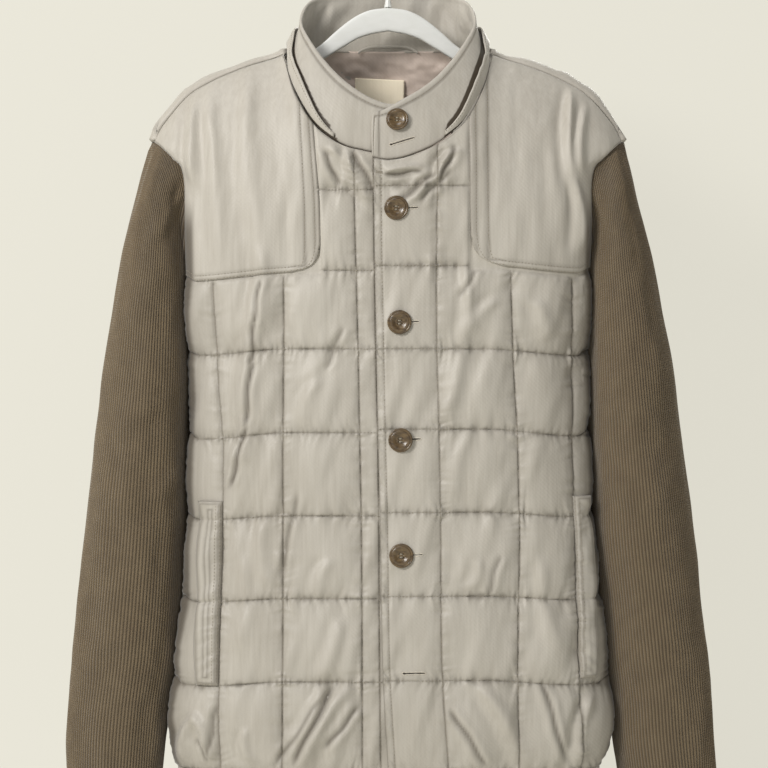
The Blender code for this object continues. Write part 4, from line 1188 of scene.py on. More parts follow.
@dataclass
class Front:
    """One quilted front with the yoke and the pocket welt that lie on it."""

    side: Side
    finishes: Wardrobe
    sizes: FrontSizes = field(init=False)
    word: str = field(init=False)
    left: bool = field(init=False)
    pitch: float = 1.56
    wall: float = 2.5
    pucker: float = 1.9
    side_steps: int = 38
    placket_stitch: float = 7.0
    outer: Array = field(init=False)
    inner: Array = field(init=False)
    normal: Array = field(init=False)
    out: Array = field(init=False)
    level: Array = field(init=False)
    shade: Array = field(init=False)
    runs: list[Path] = field(default_factory=list)

    def __post_init__(self) -> None:
        """Look up the side's own sizes, and make the front, its yoke and its welt."""
        self.sizes, self.word = FRONT_SIZES[self.side], self.side.name.lower()
        self.left = self.side is Side.LEFT
        self.grid()
        made = Piece(f"quilted_front_{self.word}", "shell", (f"front_{self.word}",)).slab(
            self.outer, self.inner, self.finishes.quilted, 3, not self.left, self.shade
        )
        self.yoke()
        self.welt()

    def grid(self) -> None:
        """Work out the front: rows from the hem up, columns from the centre out, and all that raises it.

        The crown is the quilted cells' puff; folds, puckers and a slow drift are added along the normal.
        """
        side, rows = self.side, np.array(FRONT_ROWS[self.side])
        levels = spread(rows, self.pitch)
        climb = np.linspace(0, 1, 100)[1:] ** 0.94
        z = np.concatenate([np.interp(levels, np.arange(len(rows)), rows), np.full(len(climb), rows[-1])])
        rise = np.concatenate([0 * levels, climb])
        self.level = up = np.concatenate([levels, len(rows) - 1 + climb * 0.999])
        names = ("edge", "first", "second", "third")
        places = np.stack([read(FRONT_SEAMS[side], "z", name, z) for name in names], -1)
        if not self.left:
            places = np.concatenate([np.full((len(z), 1), UNDERLAP), places], 1)
        ends = row_ends(side, Face.FRONT, z, rise)
        reach, past_seam = np.abs(ends[:, :1]), np.linspace(0, 1, self.side_steps)[1:]
        cells = spread(places[0], self.pitch)
        out = np.stack([np.interp(cells, np.arange(places.shape[1]), row) for row in places])
        out = np.concatenate([out, side_columns(places[:, -1:], reach, past_seam)], 1)
        across = np.concatenate([cells, places.shape[1] - 1 + past_seam])
        neck = read(NECKLINE, "out", self.word, np.abs(out))
        top = np.where(np.abs(out) < NECK_OUT, neck, read(SHOULDER_SEAM, "out", "z", out))
        grid = half_body(side, Face.FRONT, out, (z, rise), top, ends)
        x, height, normal = side.value * out, grid[..., 2], grid_normals(grid) * side.value
        seam_rows, seam_columns = (np.flatnonzero(cell == np.round(cell)) for cell in (up, across))
        near_row = nearest(height, height[seam_rows].T[None])
        near_column = nearest(out, out[:, seam_columns][:, None])
        covered = self.under_yoke(out, up[:, None])
        bare = 1 - covered
        lift = np.clip((75 - out) / 35, 0, 1) * OVERLAP_LIFT * self.left
        edge = smooth((reach - out) / 6) * smooth((1.0 - rise[:, None]) / 0.05)
        off_placket = smooth((np.abs(x + 4) - 4) / 18 + 1.0 * self.left)
        relief = 1.6 * fold_relief(FRONT_FOLDS, x, height) * off_placket
        slow = 0.9 * drift(x / 34, height / 46, 5) + 0.5 * drift(x / 15, height / 30, 6)
        slow += 1.6 * drift((x - 0.3 * height) / 12, height / 48, 7) * (1 - 0.6 * covered)
        sharp, dark = creases(x, height)
        crown = self.crown(up, across, x, height, near_row, near_column) * bare
        raised = lift + crown + edge * (relief + slow)
        self.inner = grid + normal * (raised - self.wall)[..., None]
        self.outer = grid + normal * (raised + edge * sharp * bare)[..., None]
        self.normal, self.out = normal, out
        # Painted shade: dark lines in the seam valleys, a broad shade near seams and towards the side, the
        # creases' shade, and the cleft's painted shadow beside the sleeve.
        self.shade = quilt_shade(near_row, near_column, x, bare)
        self.shade[..., 1] += 1.2 * smooth((out - reach + 34) / 34) * bare
        darken(self.shade, dark * bare, self.painted_cleft_shadow(reach - out, height))
        # Painted shade along the placket's stitched groove.
        if self.left:
            darken(self.shade, 0.47 * bell(out - out[:, :1] - self.placket_stitch, 0.9))
        for_sleeve, way = (z > UNDERARM)[:, None], across_armhole(side, row_angle(Face.FRONT, z, rise))
        self.outer[:, -1] -= way * SEAM_GAP * for_sleeve
        normal[:, -1] = np.where(for_sleeve, normal[:, -2], (side.value, 0, 0))
        self.quilt_runs(seam_rows, seam_columns, covered)

    def quilt_runs(self, seam_rows: Array, seam_columns: Array, covered: Array) -> None:
        """Keep the paths along which the quilting is sewn, and the line beside the placket's edge.

        Args:
            seam_rows: The grid rows that lie on cross seams.
            seam_columns: The grid columns that lie on long seams.
            covered: 1 where the plain yoke covers the quilting.
        """
        for j in seam_rows[1:]:
            seen = np.flatnonzero(covered[j] < 0.5)[1:-1]
            self.runs.append((self.outer[j, seen], self.normal[j, seen]))
        for i in seam_columns[1:-1]:
            seen = np.flatnonzero(covered[:, i] < 0.5)[2:-2]
            self.runs.append((self.outer[seen, i], self.normal[seen, i]))
        if self.left:
            goal, rows = self.out[:, 0] + self.placket_stitch, np.arange(len(self.out))
            before = np.clip((self.out < goal[:, None]).sum(1) - 1, 0, self.out.shape[1] - 2)
            start = self.out[rows, before]
            column = before + (goal - start) / (self.out[rows, before + 1] - start)
            self.runs.append(self.at(rows.astype(float), column))

    def at(self, row: Array, column: Array) -> Path:
        """Points at fractional rows and columns, and the normals there."""
        return sample(self.outer, row, column), sample(self.normal, row, column)

    def crown(
        self, up: Array, across: Array, x: Array, z: Array, near_row: Path, near_column: Path
    ) -> Array:
        """How far the quilting rises: puffed cells of slightly uneven fullness, gathered along their seams.

        Args:
            up: Each row's place among the cross seams.
            across: Each column's place among the seams.
            x: Places across.
            z: Heights.
            near_row: Distances to the nearest cross seam, and its number.
            near_column: The same for the seams that run down.

        Returns:
            The rise at each point.
        """
        cell_across, cell_up = np.meshgrid(across, up)
        uneven = drift(np.floor(cell_across) * 1.7 + 9, np.floor(cell_up) * 1.3 + 4, 3)
        full = QUILT_CROWN * (1 + 0.16 * uneven)
        for k, flatter in enumerate(self.sizes.placket):
            full = np.where((cell_across >= k) & (cell_across < k + 1), flatter, full)
        full = np.where(cell_up > len(FRONT_ROWS[self.side]) - 1, full * 0.75, full)
        loose, seed = self.pucker * np.clip(0.25 + full / 5, 0, 1), self.sizes.seed
        rise = full * puff(cell_across, cell_up)
        rise += loose * gathers(x, z, near_row, near_column, seed, seed + 9)
        if self.left:
            inside = x - x[:, :1]
            rope = wander((z + inside) / 1.9, 45) * np.clip(inside / 2, 0, 1) * (inside < self.placket_stitch)
            rise += 0.8 * rope - 0.7 * bell(inside - self.placket_stitch, 1.1)
        return rise

    def under_yoke(self, out: Array, up: Array) -> Array:
        """1 where the plain yoke lies on the front, easing to 0 just outside its edges."""
        foot = len(FRONT_ROWS[self.side]) - 2
        past = smooth((out - np.interp(up, (foot, foot + 2), self.sizes.yoke_inner[::-1]) + 3) / 4)
        return past * smooth((up - foot + 0.09) / 0.07)

    def point(self, out: Array, z: Array) -> Path:
        """Points on the front at distances out and heights, and the normals there."""
        target = np.stack(np.broadcast_arrays(np.asarray(out, float), np.asarray(z, float)), -1)
        return self.at(*locate(np.stack([self.out, self.outer[..., 2]], -1), target))

    def yoke(self) -> None:
        """The plain yoke: the front's own points moved out, its inner lower corner rounded."""
        tall, wide, corner, last = 160.0, 118.0, 26.0, len(self.level) - 1
        (top, low), counts = self.sizes.yoke_inner, np.arange(self.out.shape[1])
        foot = np.interp(len(FRONT_ROWS[self.side]) - 2, self.level, np.arange(last + 1))
        foot -= self.sizes.yoke_foot / self.pitch
        share_up, share_out = shares(84, 84)
        p, q = round_corner(share_out * wide, share_up * tall, corner)
        row = foot + (last - 0.002 - foot) * q / tall
        row -= self.sizes.yoke_slope / self.pitch * p / wide * (1 - q / tall) ** 4
        near = np.clip(np.round(row[:, -1]).astype(int), 0, last)
        inner = low + (top - low) * share_up[:, 0]
        first = np.array([[np.interp(edge, self.out[j], counts)] for edge, j in zip(inner, near)])
        base, normal = self.at(row, first + (len(counts) - 1.6 - first) * p / wide)
        rim = np.minimum(np.minimum(p, (wide - p) * 3), np.minimum(q, (tall - q) * 3))
        stitched = sum(0.55 * bell(rim - row, 0.9) for row in TOPSTITCH)
        relax = drift(base[..., 0] / 9, base[..., 2] / 60, 14) * smooth(rim / 12)
        outer = base + normal * (SEAM_GAP + 0.5 + 1.6 * root(rim / 2.2) - stitched + relax)[..., None]
        way = grid_normals(outer) * self.side.value
        for row, column in ((1, 2), (4, 6)):
            self.runs.append(
                tuple(np.concatenate([grid[:row:-1, column], grid[row, column:-1]]) for grid in (outer, way))
            )
        # Painted shade along the yoke's edge and stitches, and the painted shadow of the cleft beside the
        # sleeve.
        shade, inset = stitched_shade(rim), np.abs(base[:, -1:, 0]) - np.abs(base[..., 0])
        darken(shade, self.painted_cleft_shadow(inset, base[..., 2]))
        made = Piece(f"plain_yoke_{self.word}", "shell", (f"yoke_{self.word}",)).slab(
            outer, base + normal * 0.2, self.finishes.quilted, 3, not self.left, shade
        )

    def painted_cleft_shadow(self, inset: Array, z: Array) -> Array:
        """The painted shadow of the narrow cleft beside the sleeve, from the distance in from the side."""
        return 0.95 * smooth((self.sizes.cleft + 3 - inset) / 5) * smooth((-268 - z) / 40)

    def welt(self) -> None:
        """The pocket welt: an upright strip on the front, its outer long edge free and a little proud."""
        t, s = shares(130, 18)
        pairs = (self.sizes.welt_ends, self.sizes.welt_inner, self.sizes.welt_outer)
        z, a, b = (low + (top - low) * t for top, low in pairs)
        base, normal = self.point(a + (b - a) * s, z)
        tall = self.sizes.welt_ends[0] - self.sizes.welt_ends[1]
        rim = np.minimum(np.minimum(s, 1 - s) * (b - a), np.minimum(t, 1 - t) * tall)
        thick = 1.2 + 2.2 * root(rim / 2.5) + 1.6 * s + 0.5 * drift(z / 16, s * 2, 8)
        thick += 0.7 * wander((z + 14 * s) / 5.5, 19) * np.clip(4 * s * (1 - s), 0, 1)
        outer = base + normal * thick[..., None]
        for path in np.s_[2:-2, 1], np.s_[2:-2, 4], np.s_[1, 1:-1]:
            self.runs.append((outer[path], normal[path]))
        # The cloth map carries painted shade along the welt's edges and stitches.
        made = Piece(f"pocket_welt_{self.word}", "shell", (f"welt_{self.word}",)).slab(
            outer, base + normal * 0.25, self.finishes.quilted, 1, not self.left, stitched_shade(rim)
        )


@dataclass
class Back:
    """The quilted back, its plain yoke, and the lining, label and loop inside the neck."""

    finishes: Wardrobe
    pitch: float = 2.25
    wall: float = 2.5
    pucker: float = 1.8
    side_steps: int = 28
    over_rows: int = 12
    outer: Array = field(init=False)
    inner: Array = field(init=False)
    normal: Array = field(init=False)
    shade: Array = field(init=False)
    runs: list[Path] = field(default_factory=list)

    def grid(self) -> int:
        """Work out the back from the hem up and over the ridge, and return the row where its yoke starts.

        Returns:
            The row where the plain yoke starts.
        """
        rows, places = np.array(BACK_ROWS), np.array(BACK_SEAMS)
        levels, cells = spread(rows, self.pitch), spread(places, self.pitch)
        plain, climb = np.linspace(rows[-1], -263.0, 30)[1:], np.linspace(0, 1, 56)[1:]
        heights = np.interp(levels, np.arange(len(rows)), rows)
        level_z = np.concatenate([heights, plain, np.full(len(climb), plain[-1])])
        rise = np.concatenate([np.zeros(len(levels) + len(plain)), climb])
        up = np.concatenate([levels, np.full(len(plain) + len(climb), len(rows) - 1.0)])
        past_seam = np.linspace(0, 1, self.side_steps)[1:]
        across = np.concatenate([cells, len(places) - 1 + past_seam])
        across = np.where(across < 1, 0.5 + 0.5 * across, across)
        halves = []
        for side in Side:
            ends = row_ends(side, Face.BACK, level_z, rise)
            fixed = np.interp(cells, np.arange(len(places)), places)[None] * np.ones((len(rise), 1))
            out = np.concatenate([fixed, side_columns(places[-1], np.abs(ends[:, :1]), past_seam)], 1)
            top = np.where(out < NECK_OUT, BACK_NECK - 6, read(RIDGE, "out", "z", out))
            half = half_body(side, Face.BACK, out, (level_z, rise), top, ends)
            halves.append(np.concatenate([half, self.over_ridge(side, out[-1])]))
        grid = np.concatenate([halves[0][:, :0:-1], halves[1]], 1)
        x, z, normal = grid[..., 0], grid[..., 2], -grid_normals(grid)
        cell_across, cell_up = np.meshgrid(
            np.concatenate([across[:0:-1], across]), np.append(up, np.full(self.over_rows, up[-1]))
        )
        seam_rows = np.flatnonzero((up == np.round(up)) & (up < len(rows)))[: len(rows)]
        seam_columns = np.flatnonzero(np.isin(cell_across[0], np.arange(1, len(places) + 1)))
        near_row = nearest(z, z[seam_rows].T[None])
        near_column = nearest(x, x[:, seam_columns][:, None])
        quilted = cell_up < len(rows) - 1
        uneven = drift(np.floor(cell_across) * 1.9, np.floor(cell_up) * 1.3 + 2, 9)
        full = QUILT_CROWN * (1 + 0.15 * uneven)
        crown = full * puff(cell_across, cell_up) + self.pucker * gathers(x, z, near_row, near_column, 51, 57)
        sharp, dark = creases(18 - x, z)
        # Painted shade in the seam valleys and along the creases.
        self.shade = quilt_shade(near_row, near_column, x, quilted)
        darken(self.shade, dark * quilted)
        sharp = sharp * quilted * (np.abs(np.abs(z + 540) - 30) < 240)
        from_top = (len(grid) - 1 - np.arange(len(grid)))[:, None]
        edge = smooth((np.abs(x[:, :1]) - np.abs(x)) / 6) * smooth(from_top / 14)
        relief = 1.6 * fold_relief(BACK_FOLDS, x, z) + 0.9 * drift(x / 34, z / 46, 15)
        relief += 1.6 * drift((x + 0.3 * z) / 12, z / 48, 16)
        self.inner = grid + normal * (crown * quilted + edge * relief - self.wall)[..., None]
        self.outer, self.normal = self.inner + normal * (sharp + self.wall)[..., None], normal
        paths = [np.s_[j, 2:-2] for j in seam_rows[1:]] + [np.s_[2 : len(levels), i] for i in seam_columns]
        self.runs += [(self.outer[path], normal[path]) for path in paths]
        return len(levels) - 1

    def over_ridge(self, side: Side, out: Array) -> Array:
        """Rows that carry the back over the ridge to the front's shoulder seam, or up to the neckline.

        Args:
            side: The wearer's side.
            out: Distances from the centre line.

        Returns:
            The rows of points.
        """
        count = self.over_rows
        share = np.linspace(0, 1, count + 1)[1:, None]
        end = armhole(side, Face.FRONT, np.array([SHOULDER_END]))
        ridge, seam = read(RIDGE, "out", "z", out)[None], read(SHOULDER_SEAM, "out", "z", out)[None]
        z = ridge + (seam - ridge) * share**2 + 0.3 * share
        shifted = out + (np.minimum(out, abs(end[0, 0]) - 2) - out) * share
        rows = trunk(side, Face.FRONT, shifted, z, np.repeat(end, count, 0))
        neck_z = (BACK_NECK - 6 * (1 - share)) * np.ones_like(z)
        neck_ends = np.repeat([[198.0 * side.value, 34.0, 0]], count, 0)
        neck = trunk(side, Face.BACK, out * np.ones_like(z), neck_z, neck_ends)
        rows = np.where((out < NECK_OUT)[None, :, None], neck, rows)
        rows[:, -1] = armhole(side, Face.FRONT, 180 - 40 * share[:, 0])
        return rows

    def build(self) -> None:
        """Make the back, its yoke and what lies inside the neck."""
        foot = self.grid()
        made = Piece("quilted_back", "shell", ("back",)).slab(
            self.outer, self.inner, self.finishes.quilted, 3, True, self.shade
        )
        base, normal = (grid[foot - 1 :: 2, 2:-2:2] for grid in (self.outer, self.normal))
        rows, columns = base.shape[:2]
        rim = np.minimum(np.arange(rows), np.arange(rows)[::-1] * 3)[:, None] * 5.2 * np.ones((1, columns))
        slow = 0.7 * drift(base[..., 0] / 12, base[..., 2] / 60, 24) * smooth(rim / 16)
        thick = 0.5 + 1.6 * root(rim / 5) - 0.7 * bell(rim - 5.2, 2.0) + slow
        made = Piece("plain_yoke_back", "shell", ("yoke_back",)).slab(
            base + normal * (SEAM_GAP + thick)[..., None], base + normal * 0.2, self.finishes.trim, 1, True
        )
        self.lining()

    def lining(self) -> None:
        """The wrinkled lining inside the back of the neck, with the hanger loop and the label."""
        low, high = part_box("back_lining")
        t, s = shares(70, 90)
        x, z = (low[0] + (high[0] - low[0]) * s) / MM, (low[2] + (high[2] + 0.003 - low[2]) * t) / MM
        ends = np.repeat([[198.0, 34.0, 0]], len(x), 0)
        back_y = trunk(Side.LEFT, Face.BACK, np.abs(x), z, ends)[..., 1] - self.wall
        crease = 3.4 * drift(x / 17 + z / 30, z / 8, 61) + 1.8 * drift(x / 8, z / 4.5 + x / 30, 62)
        edge = smooth(np.minimum(np.minimum(s, 1 - s) * 10, np.minimum(t, 1 - t) * 10))
        face = np.stack([x, back_y - 1.9 + (crease * 0.5 - 0.6) * edge, z], -1)
        made = Piece("neck_lining", "lining", ("back_lining",)).slab(
            face, face + (0, 1.0, 0), self.finishes.lining
        )
        loop = self.loop()
        self.label(face)

    def label(self, face: Array) -> None:
        """The blank woven label: a thin strip with turned ends, a little curled away at its lower edge.

        Args:
            face: The lining's visible face.
        """
        low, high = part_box("neck_label")
        s, t = np.meshgrid(np.linspace(0, 1, 30), np.linspace(0, 1, 24))
        x = (low[0] + (high[0] - low[0]) * s) / MM + 0.8 * t
        z = (low[2] + (high[2] - low[2]) * t) / MM - 2.4 * s
        row = np.interp(z, face[:, 0, 2], np.arange(face.shape[0]))
        column = np.interp(x, face[0, :, 0], np.arange(face.shape[1]))
        y = sample(face, row, column)[..., 1].min() - 0.7
        y = y + 0.25 * np.sin(s * 5) - 0.5 * bell(s - 0.03, 0.02) - 1.0 * (1 - t) ** 3
        front = np.stack([x, y, z], -1)
        made = Piece("blank_label", "label", ("neck_label",)).slab(
            front, front + (0, 0.8, 0), self.finishes.label
        )

    def loop(self) -> bpy.types.Object:
        """The hanger loop: a folded strip that arches over the neck seam and is tacked at both ends.

        Returns:
            The loop's object.
        """
        low, high = (np.array(corner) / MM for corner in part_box("hanger_loop"))
        t, a = np.meshgrid(np.linspace(-1, 1, 41), turns(16), indexing="ij")
        centre, half = (low + high) / 2, (high - low) / 2
        z = centre[2] - half[2] + 1.6 + (2 * half[2] - 3.2) * (1 - t**4)
        y = high[1] - 1.4 - (2 * half[1] - 2.8) * t * t
        ring = np.stack([centre[0] + half[0] * t * 0.98, y + 0.7 * np.cos(a), z + 1.5 * np.sin(a)], -1)
        piece = Piece("neck_loop", "shell", ("hanger_loop",))
        return piece.mesh(capped(ring), tube_faces(*ring.shape[:2]), self.finishes.trim)


@dataclass
class Sleeve:
    """One rib-knit sleeve: a tube from the armhole to the cuff."""

    side: Side
    finishes: Wardrobe
    ribs: int = 96
    per_rib: int = 6
    rows: int = 100
    inner_step: int = 3
    wall: float = 2.4
    rib_height: float = 1.15

    def build(self) -> None:
        """Make ovals from the armhole down to the cuff, and the ribs as rounded cords along them.

        The ribs' profile is a raised cosine to the power 0.6; slow drift and a few creases bend the tube.
        """
        side, columns = self.side, self.ribs * self.per_rib
        turn = np.arange(columns) * 360.0 / columns
        half_turn = np.where(turn > 180, 360 - turn, turn)
        front, back = (armhole(side, face, half_turn) for face in Face)
        ring = np.where((turn <= 180)[:, None], front, back) + across_armhole(side, half_turn) * SEAM_GAP
        start, radians = ring[None, :, 2], np.radians(turn)[None]
        share = (np.arange(self.rows) / (self.rows - 1))[:, None] ** 1.25
        z = start + (CUFF - start) * share
        miss = (ring[:, :2] - self.oval(start, radians)[0]) * (1 - smooth((start - z) / 45.0))[..., None]
        grid = np.concatenate([self.oval(z, radians) + miss, z[..., None]], -1)
        along = np.roll(grid, -1, axis=1) - np.roll(grid, 1, axis=1)
        normal = unit(np.cross(np.gradient(grid, axis=0), along)) * side.value
        rib = self.rib_height * (0.5 - 0.5 * np.cos(np.arange(columns) * 2 * np.pi / self.per_rib)) ** 0.6
        settle_in = smooth((start - z) / 9)
        bend = 1.7 * drift(turn[None] / 26 + 3 * side.value, z / 62, 71)
        bend += 0.8 * drift(turn[None] / 14, z / 30, 72)
        crease = fold_relief(SLEEVE_CREASES, turn[None] + 0 * z, z)
        raised = rib[None] * (0.25 + 0.75 * settle_in) + settle_in * (bend + crease)
        last = (self.rows - 1) // self.inner_step * self.inner_step + 1
        outer = (grid + normal * raised[..., None])[:last]
        self.close(outer, (grid - normal * self.wall)[: last : self.inner_step, :: self.per_rib], turn)

    def oval(self, z: Array, radians: Array) -> Array:
        """Places across and in depth on the sleeve's oval at heights and angles.

        Args:
            z: The heights.
            radians: The angles round the tube.

        Returns:
            The points' X and Y.
        """
        word = self.side.name.lower()
        outer, inner = (read(SLEEVE, "z", f"{word}_{edge}", z) for edge in ("outer", "inner"))
        inner = inner - 3.0 * smooth((-290 - z) / 60) * smooth((z + 780) / 60)
        middle, half = (outer + inner) / 2, (outer - inner) / 2
        across = self.side.value * (middle - half * np.cos(radians))
        return np.stack([across, -read(SLEEVE, "z", "depth", z) * np.sin(radians)], -1)

    def close(self, outer: Array, inner: Array, turn: Array) -> None:
        """Join the ribbed outside to the coarser inside at the armhole and the cuff, and make the piece.

        Args:
            outer: The ribbed outer rings.
            inner: The coarser inner rings.
            turn: The outer points' angles, in degrees.
        """
        fine = np.arange(outer[..., 0].size).reshape(outer.shape[:2])
        coarse = fine.size + np.arange(inner[..., 0].size).reshape(inner.shape[:2])
        faces = quads(closed(fine)) + quads(closed(coarse), True) + join_rings(fine[0], coarse[0])
        faces += [face[::-1] for face in join_rings(fine[-1], coarse[-1])]
        if self.side is Side.LEFT:
            faces = [face[::-1] for face in faces]
        lengths = np.linalg.norm(np.diff(outer, axis=0, prepend=outer[:1]), axis=-1).cumsum(0)
        ribs = (turn / 360 * self.ribs)[None] + 0 * lengths
        uv = np.stack([np.where(ribs > self.ribs / 2, self.ribs - ribs, ribs), lengths * MM], -1)
        points, uv = (
            np.concatenate([grid.reshape(-1, grid.shape[-1]), within.reshape(-1, grid.shape[-1])])
            for grid, within in ((outer, inner), (uv, uv[:: self.inner_step, :: self.per_rib]))
        )
        word = self.side.name.lower()
        piece = Piece(f"rib_sleeve_{word}", "knit", (f"sleeve_{word}",))
        made = piece.mesh(points, faces, self.finishes.knit, uv)


@dataclass
class Collar:
    """The stand collar with its buttoned tab, and the narrow band outside its foot."""

    finishes: Wardrobe
    fronts: dict[Side, Front]
    rows: int = 37
    half_columns: int = 121
    wall: float = 3.0
    wall_below: float = 2.5
    lap: float = 2.6
    tab_end: float = -0.13
    under_end: float = -0.08
    corner: float = 9.0
    stitch: float = 6.2
    band_foot: float = 0.03
    band_cut: tuple[int, int] = (43, -38)
    band_step: float = 0.0094
    band_wall: float = 1.9
    band_clear: float = 0.9
    surface: Array = field(init=False)
    normal: Array = field(init=False)
    runs: list[Path] = field(default_factory=list)

    def middle(self, share: Array, place: Array, sign: Array) -> Array:
        """The collar's middle surface, from the fronts' top edges to its own; it bows in over the shoulders.

        Args:
            share: The way from foot to top.
            place: The way round the neck, from the front centre to the back centre.
            sign: The side that each point lies on.

        Returns:
            The points.
        """
        foot, top = (
            np.stack([read(COLLAR, "place", f"{end}_{axis}", place) for axis in ("out", "y", "z")], -1)
            for end in ("foot", "top")
        )
        foot[..., 0] *= sign
        top[..., 0] *= sign
        top[..., 2] -= 11.0 * smooth((0.14 - place) / 0.3) * (sign > 0)
        foot += (self.on_neckline(foot, sign) - foot) * smooth((0.66 - place) / 0.12)[..., None]
        line = foot + (top - foot) * share[..., None]
        away = unit(line * np.array([1.0, 1.0, 0.0]))
        return line + away * (read(COLLAR, "place", "bow", place) * np.sin(np.pi * share))[..., None]

    def on_neckline(self, foot: Array, sign: Array) -> Array:
        """Foot points brought to the nearest point of the fronts' top edges, half a wall clear of them.

        Args:
            foot: The collar's foot points.
            sign: The wearer's side of each, as the sign of X.

        Returns:
            The foot points on the neckline.
        """
        found = foot.copy()
        for side, front in self.fronts.items():
            edge = front.outer[-1][:-4:2]
            start, way = edge[:-1], np.diff(edge, axis=0)
            mine = sign == side.value
            far = foot[mine][:, None] - start
            share = (far * way)[..., [0, 2]].sum(-1) / (way[:, [0, 2]] ** 2).sum(-1)
            near = start + way * np.clip(share, 0, 1)[..., None]
            best = np.linalg.norm((foot[mine][:, None] - near)[..., [0, 2]], axis=-1).argmin(1)
            counts = np.arange(len(best))
            across = unit(np.stack([-way[:, 2], 0 * way[:, 0], way[:, 0]], -1) * side.value)[best]
            slide = np.minimum(share[counts, best], 0)[:, None] * way[best] * 0.3
            clear = 0.6 + self.wall / 2 * np.abs(across[:, :1])
            found[mine] = near[counts, best] + slide + across * clear + np.array([0, self.wall_below, 0])
        return found

    def build(self) -> None:
        """Make the collar and its band, with a rounded tab and turned, stitched edges."""
        left = np.linspace(self.tab_end, 1, self.half_columns)
        right = np.linspace(1, self.under_end, self.half_columns)[1:]
        sign = np.concatenate([np.ones(len(left)), -np.ones(len(right))])
        share, place = np.meshgrid(np.linspace(0, 1, self.rows), np.concatenate([left, right]), indexing="ij")
        sign = np.broadcast_to(sign, share.shape)
        share, place = self.round_tab(share, place, sign)
        surface = self.middle(share, place, sign)
        self.normal = normal = grid_normals(surface)
        count = surface.shape[1]
        lap = np.linspace(1, -1, count)
        lap = np.sign(lap) * np.clip(np.abs(lap) * 3 - 2, 0, 1) * self.lap
        from_top = (1 - share) * 50
        from_edge = np.minimum(from_top, np.minimum(np.arange(count), np.arange(count)[::-1])[None] * 2.2)
        half = self.wall / 2 * turned_edge(np.minimum(from_edge, share * 60 + 3), 2.4, 0.02)
        sewn = 0.45 * bell(from_edge - self.stitch, 0.9)
        wavy = 0.8 * drift(place * 9 * sign, share * 2.2, 81) * smooth(from_top / 12) * smooth(share * 6)
        inside = self.inner_wrinkles(place * sign, share) * smooth(from_top / 14)
        surface = surface + normal * (lap[None] * (0.62 + 0.38 * share) + wavy)[..., None]
        self.surface = surface + normal * (half - sewn)[..., None]
        row, column, grids = 32, 3, (self.surface, normal)
        self.runs.append(tuple(np.concatenate([g[3:row, column], g[row, column:-column]]) for g in grids))
        # Painted shade along the stitched line, the tab's line and the foot, and painted shadow in the slot
        # behind the band.
        tab_row = np.abs(np.linalg.norm(surface - surface[:, :1], axis=-1) - 7.2)
        near = np.minimum(np.minimum(np.abs(from_edge - self.stitch), tab_row), share * 40)
        painted_slot_shadow = smooth((self.band_top(place, sign) - share) / 0.03)[..., None] * np.array([1.7, 1.0])
        made = Piece("stand_collar", "shell", ("collar",)).slab(
            self.surface, surface - normal * (half - sewn * 0.6 + inside)[..., None], self.finishes.quilted,
            uv=np.maximum(painted_seam_shade(near, 0.75), painted_slot_shadow),
        )
        self.band(place, sign, lap)

    def round_tab(self, share: Array, place: Array, sign: Array) -> tuple[Array, Array]:
        """Draw the tab's top corner in to a quarter circle, on the strip's own sizes.

        Args:
            share: Shares of the way up the collar.
            place: Places along the collar.
            sign: The wearer's side of each place, as the sign of X.

        Returns:
            The shares and places after rounding.
        """
        long, tall = 190.0, 48.0
        across, down = round_corner((place - self.tab_end) * long, (1 - share) * tall, self.corner)
        share = np.where(sign > 0, 1 - down / tall, share)
        return share, np.where(sign > 0, self.tab_end + across / long, place)

    def inner_wrinkles(self, around: Array, share: Array) -> Array:
        """Slanting wrinkles of the collar's inner side, deepest at the back."""
        deep = smooth((np.abs(around) - 0.5) / 0.3)
        broad, fine = drift(around * 22 + share * 1.5, share * 1.6, 83), drift(around * 50, share * 4, 84)
        return deep * (2.4 * broad + fine)

    def band_height(self, from_tip: Array) -> Array:
        """The outer band's height, as a share of the collar's, at places in from its tip."""
        return 0.34 * (0.2 + 0.8 * smooth(from_tip / 0.24))

    def band_top(self, place: Array, sign: Array) -> Array:
        """How far up the collar the painted shadow behind the band shows: past its edge, and most at the
        front.

        Args:
            place: Places along the collar.
            sign: The wearer's side of each, as the sign of X.

        Returns:
            The shares of the way up.
        """
        start = place - 0.268
        edge = (self.band_foot + self.band_height(start)) * smooth((start - 0.004) / 0.02)
        narrows = smooth((place - np.where(sign > 0, 0.58, 0.40)) / 0.14)
        gape = smooth((place - np.where(sign > 0, 0.262, 0.238)) / 0.03) * (1 - 0.8 * narrows)
        return edge + 0.01 + 0.085 * gape

